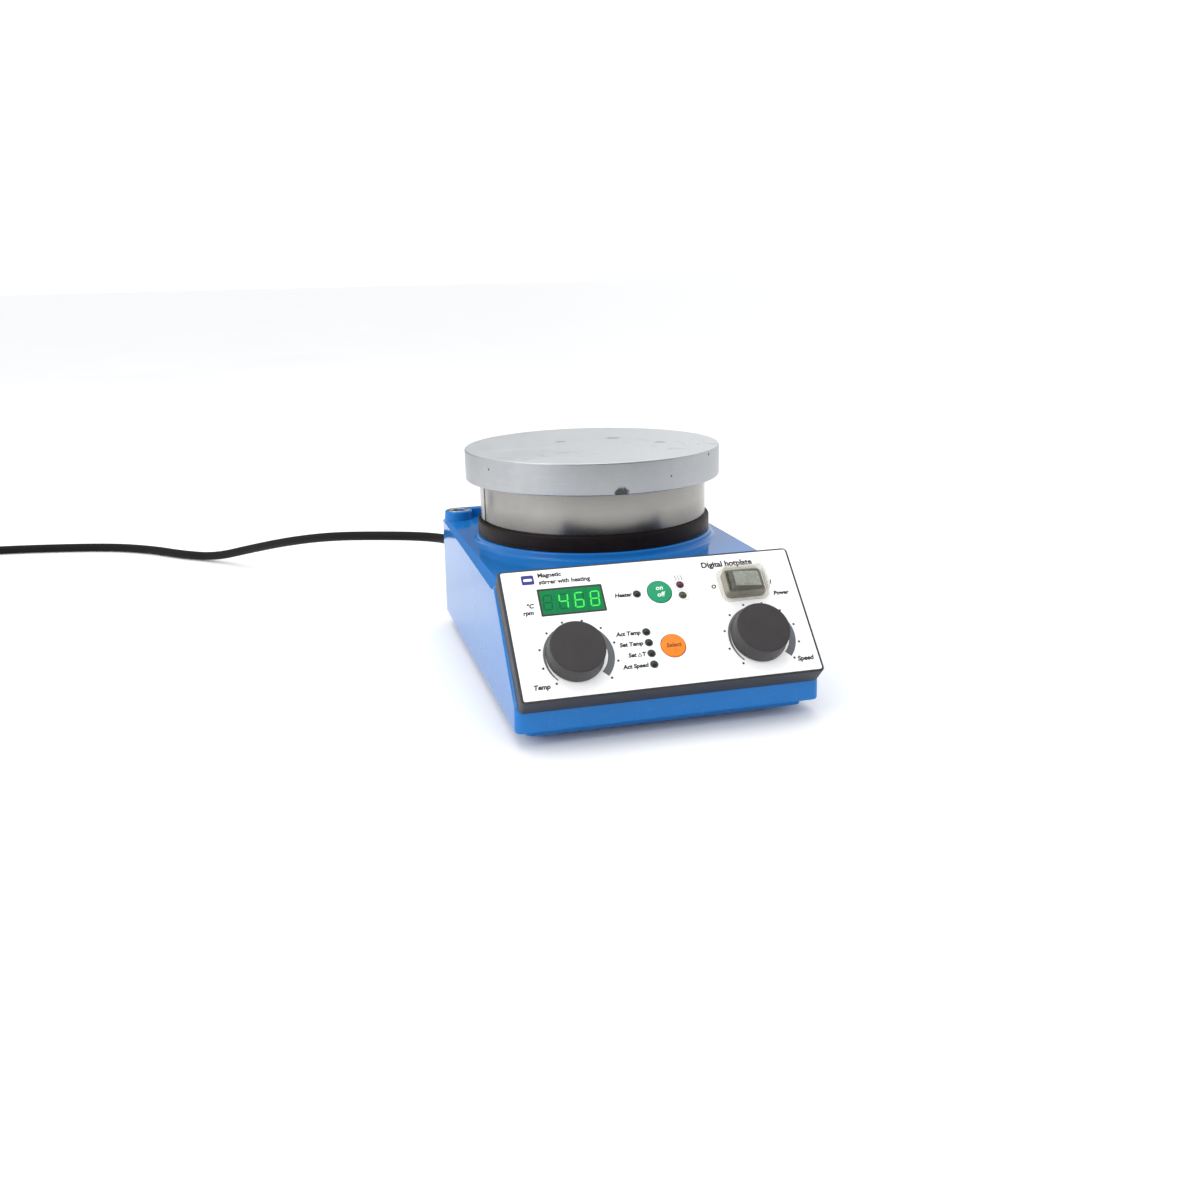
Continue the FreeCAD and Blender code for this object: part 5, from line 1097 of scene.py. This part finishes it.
def make_leds():
    """Domed lenses, each in a thin light collar."""
    shoulder, crown = face_w - 0.3, 0.75
    dome = turned([(0.0, face_w - 3.0), (lens_radius, face_w - 3.0), (lens_radius, shoulder)]
                  + [(lens_radius * math.cos(angle), shoulder + crown * math.sin(angle))
                     for angle in np.linspace(0.1, math.pi / 2.0, 8)], 32)
    lenses = [moved(dome, u, v) for u, v in led_places]
    piece("indicator_lenses", together([lenses[0]] + lenses[3:]), "root", "led_lens", on_panel,
          ["led_lenses"])
    piece("alarm_lens_upper", lenses[1], "root", "led_lens", on_panel, finish=lens_red)
    piece("alarm_lens_lower", lenses[2], "root", "led_lens", on_panel, finish=lens_olive)
    collar = turned(rounded([(1.66, face_w - 0.2), (1.66, face_w + 0.1), (2.15, face_w + 0.06),
                             (2.2, face_w - 0.2)], [0, 0.05, 0.1, 0], 4), 32)
    piece("lens_collars", together([moved(collar, u, v) for u, v in led_places]), "root",
          "bezel_plastic", on_panel, finish=ink_grey)


def make_key(name, v, body, slot, words, ink, stands_for):
    """Round key with a softly crowned face, and its printed words."""
    top = face_w + 0.7
    side = rounded([(0.0, top - 3.4), (key_radius, top - 3.4), (key_radius, top - 0.15),
                    (5.0, top)], [0, 0.2, 0.5, 0.2])
    crown = [(4.0, top + 0.03), (2.0, top + 0.06), (0.0, top + 0.07)]
    cap = turned(np.concatenate([side, crown]), 72)
    piece(name, moved(cap, key_u, v), body, slot, on_panel, stands_for)
    print_low, print_high = top - 0.1, top + 0.11
    lines = [letters(text, key_u + du, v + dv, size, print_low, print_high, weight=0.07)
             for text, du, dv, size in words]
    piece(name + "_print", together(lines), body, slot, on_panel, finish=ink)


def make_knob(name, u, body, node):
    """Turned knob: slightly conical side, crisp edge, flat crowned face, hollow underneath."""
    low, high = face_w + 0.7, face_w + 10.2
    bore, hub_radius, hub_low, ceiling = 3.05, 5.5, low + 0.7, high - 2.4
    foot_radius, top_radius = 14.2, 13.5
    profile = rounded([(bore, hub_low), (hub_radius, hub_low), (hub_radius, ceiling),
                       (11.2, ceiling), (11.7, low), (foot_radius, low),
                       (top_radius, high - 0.06), (12.7, high - 0.05)],
                      [0, 0.2, 0.3, 0.5, 0.3, 0.45, 0.6, 0], 7)
    face = [(12.4, high - 0.047), (9.0, high - 0.03), (6.0, high - 0.015), (0.0, high)]
    inside = [(0.0, ceiling), (bore, ceiling), (bore, hub_low)]
    knob = turned(np.concatenate([profile, face, inside]), 128)
    piece(name, moved(knob, u, dial_v), body, "knob_plastic", on_panel, [node])


def make_display():
    """Dark surround, green pane, four leaning seven-segment figures and the dividers."""
    case = carried(rounded([(0.0, face_w - 1.9), (0.0, face_w + 0.1), (0.9, face_w + 0.1),
                            (1.1, face_w - 0.06)], [0, 0.25, 0.1, 0]),
                   display_half_u, display_half_v, 0.5)
    piece("display_surround", moved(case, display_u, upper_v), "root", "display_case", on_panel)
    pane = carried(rounded([(0.0, face_w - 0.5), (0.0, face_w + 0.03), (0.3, face_w + 0.04)],
                           [0, 0.05, 0]), display_half_u - 0.95, display_half_v - 0.95, 0.3)
    piece("display_pane", moved(pane, display_u, upper_v), "root", "display_filter", on_panel,
          ["display_window"])
    lit, dark = [], []
    shown = (" ", "4", "6", "8")
    patterns = {" ": "", "4": "bcfg", "6": "acdefg", "8": "abcdefg"}
    figure_pitch = 7.85
    for place, figure in enumerate(shown):
        u = -54.1 + figure_pitch * place
        for segment in "abcdefg":
            outline = segment_outline(segment) + np.array([u, upper_v - 0.2])
            on = segment in patterns[figure]
            (lit if on else dark).append(
                sheet_of([outline], face_w - 0.1, face_w + (0.09 if on else 0.06)))
    for place in range(3):
        line = rect_points(0.08, display_half_v - 1.0, 0.02, -50.15 + figure_pitch * place,
                           upper_v, 1)
        dark.append(sheet_of([line], face_w - 0.1, face_w + 0.055))
    piece("figures_lit", together(lit), "root", "display_filter", on_panel, finish=segment_lit)
    piece("figures_dark", together(dark), "root", "display_filter", on_panel,
          finish=segment_dark)


def segment_outline(segment):
    """Pointed bar of a seven-segment figure 5 mm wide and 8.4 mm high, leaning by 0.1."""
    level = np.array([(-1.85, 0.0), (-1.5, -0.36), (1.5, -0.36), (1.85, 0.0), (1.5, 0.36),
                      (-1.5, 0.36)])
    upright = level[:, ::-1]
    places = {"a": (level, 0.0, 3.95), "g": (level, 0.0, 0.0), "d": (level, 0.0, -3.95),
              "f": (upright, -2.05, 1.98), "b": (upright, 2.05, 1.98),
              "e": (upright, -2.05, -1.98), "c": (upright, 2.05, -1.98)}
    shape, u, v = places[segment]
    points = shape + np.array([u, v])
    return np.column_stack([points[:, 0] + 0.1 * points[:, 1], points[:, 1]])


def on_switch(points):
    """Points about the power switch's middle put in their place on the slanted front."""
    return on_panel(points + np.array([dial_u, upper_v, 0.0]))


def carried_box(levels, half_x, half_y, corner):
    """Rounded rectangle carried up through levels of (inset across, inset along, height)."""
    rings = [carried([(0.0, height)], half_x - across, half_y - along,
                     max(corner - min(across, along), 0.2), 5)[0]
             for across, along, height in levels]
    count = len(rings[0])
    faces = grid_faces(len(levels), count)
    faces += [list(range(count))[::-1],
              list(range((len(levels) - 1) * count, len(levels) * count))]
    return np.concatenate(rings), faces


def make_rocker():
    """Dark rocker with sloping sides and a pane let into its top, tipped to its on side; the pane's paler colour
    is painted light on the rocker's top.
    """
    top, half_u, half_v = 6.0, 8.2, 5.2
    body = carried_box([(0.0, 0.0, 2.7), (0.0, 0.0, 3.3), (0.5, 0.35, top - 0.5),
                        (0.7, 0.55, top - 0.12), (1.0, 0.85, top), (1.25, 1.1, top - 0.12)],
                       half_u, half_v, 0.8)
    pane = carried_box([(1.2, 1.05, top - 0.6), (1.2, 1.05, top - 0.05), (1.5, 1.35, top + 0.1)],
                       half_u, half_v, 0.7)
    tilt = math.radians(7.0)
    turn = np.array([[math.cos(tilt), 0.0, -math.sin(tilt)], [0.0, 1.0, 0.0],
                     [math.sin(tilt), 0.0, math.cos(tilt)]])
    pivot = np.array([0.0, 0.0, face_w + 0.2])
    piece("rocker_cap", (body[0] @ turn + pivot, body[1]), "power_rocker", "rocker_lens",
          on_switch, ["switch_rocker"])
    # The pane is a real part; its paler finish is painted light on the rocker's top.
    piece("rocker_pane", (pane[0] @ turn + pivot, pane[1]), "power_rocker", "rocker_lens",
          on_switch, finish=rocker_glass)


def make_switch():
    """Bevelled flange round the rocker, and the clear boot over them."""
    rim = face_w + 3.2
    flange = carried(rounded([(0.0, face_w + 0.02), (0.0, rim - 1.9), (1.1, rim), (1.75, rim),
                              (1.75, face_w - 4.0), (0.9, face_w - 4.0)],
                             [0, 0.4, 0.3, 0.3, 0, 0]), 10.5, 7.5, 2.6, 8, True)
    piece("switch_surround", flange, "root", "switch_plastic", on_switch)
    top = face_w + 8.25
    cover = carried(rounded([(0.0, face_w + 0.02), (0.0, face_w + 1.4), (0.85, face_w + 1.4),
                             (1.6, top), (3.6, top), (6.5, top - 0.15)],
                            [0, 0.5, 0.3, 1.2, 0.8, 0]), 12.7, 9.3, 4.0, 8, bottom=False)
    boot = piece("switch_cover", cover, "root", "clear_boot", on_switch, ["switch_boot"])
    wall = boot.modifiers.new("wall", "SOLIDIFY")
    wall.thickness = 0.8 * MM
    wall.offset = -1.0


# ---- Back ----------------------------------------------------------------------------------
def make_rear():
    """Blank rating plate on the back wall."""
    plate = sheet_of([rect_points(24.0, 14.0, 1.5)], 0.0, 0.35)
    points = plate[0][:, [0, 2, 1]] * np.array([-1.0, 1.0, 1.0])
    place = points + np.array([-18.0, back_y + 0.02, 38.0])
    piece("rating_plate", (place, plate[1]), "root", "skirt_steel")


make_housing()
make_rod_boss()
make_head()
make_bezel()
make_print()
make_leds()
make_key("heater_cap", upper_v, "heater_button", "green_key",
         [("on", 0.0, 1.9, 3.6), ("off", 0.0, -1.9, 3.6)], ink_white, ["heater_key"])
make_key("select_cap", dial_v, "select_button", "orange_key",
         [("Select", 0.0, 0.0, 3.1)], ink_brown, ["select_key"])
make_knob("temp_grip", -dial_u, "temp_dial", "temp_knob")
make_knob("speed_grip", dial_u, "speed_dial", "speed_knob")
make_display()
make_rocker()
make_switch()
make_rear()


# ---- Stage and light -----------------------------------------------------------------------
def make_floor():
    """Wide pale table top."""
    reach = 25.0
    mesh = bpy.data.meshes.new("table_top")
    mesh.from_pydata([(-reach, -reach, 0.0), (reach, -reach, 0.0), (reach, reach, 0.0),
                      (-reach, reach, 0.0)], [], [(0, 1, 2, 3)])
    made = Finish("table_white", Specular_IOR_Level=0.2)
    patches = made.group(mottle_group, Scale=3.0, Spread=0.3)["Mask"]
    made.set("Base Color", made.mix(patches, colour((0.95, 0.955, 0.96)),
                                    colour((0.965, 0.97, 0.972))))
    made.set("Roughness", made.span(patches, 0.0, 1.0, 0.5, 0.7))
    mesh.materials.append(made.material)
    floor = bpy.data.objects.new("table_top", mesh)
    bpy.context.scene.collection.objects.link(floor)


def make_world():
    """White surroundings; what is reflected is darker in front and at the back left."""
    world = bpy.data.worlds.new("studio")
    bpy.context.scene.world = world
    world.use_nodes = True
    nodes = Nodes(world.node_tree)
    background = world.node_tree.nodes["Background"]
    way = nodes.add("TexCoord").outputs["Generated"]
    front = nodes.vector("DOT_PRODUCT", way, (0.10, -0.97, 0.22)).outputs["Value"]
    parts = nodes.add("SeparateXYZ", {0: way}).outputs
    behind = nodes.math("MULTIPLY", nodes.span(parts[0], 0.20, 0.34, 1.0, 0.0),
                        nodes.span(parts[1], 0.60, 0.85, 0.0, 0.85))
    shade = nodes.math("MAXIMUM", nodes.span(front, 0.15, 0.85), behind)
    shade = nodes.math("MULTIPLY", shade, nodes.add("LightPath").outputs["Is Glossy Ray"])
    nodes.feed(background.inputs["Color"],
               nodes.mix(shade, (0.985, 0.992, 1.0, 1.0), (0.10, 0.105, 0.115, 1.0)))
    background.inputs["Strength"].default_value = 1.08


def make_lamp(name, place, target, size, power):
    """Square soft lamp that faces its target."""
    lamp = bpy.data.lights.new(name, "AREA")
    lamp.size = size
    lamp.energy = power
    lamp.color = (1.0, 0.99, 0.97)
    made = bpy.data.objects.new(name, lamp)
    bpy.context.scene.collection.objects.link(made)
    made.location = place
    back = np.array(place) - np.array(target)
    made.rotation_euler = (math.atan2(math.hypot(back[0], back[1]), back[2]), 0.0,
                           math.atan2(back[0], -back[1]))


make_floor()
make_world()
make_lamp("lamp_over", (-0.2, 0.1, 1.5), (0.0, 0.0, 0.05), 1.4, 7.5)
make_lamp("lamp_left", (-1.3, -0.5, 0.9), (0.0, 0.0, 0.06), 0.8, 6.0)
bpy.context.scene.view_settings.view_transform = "Standard"
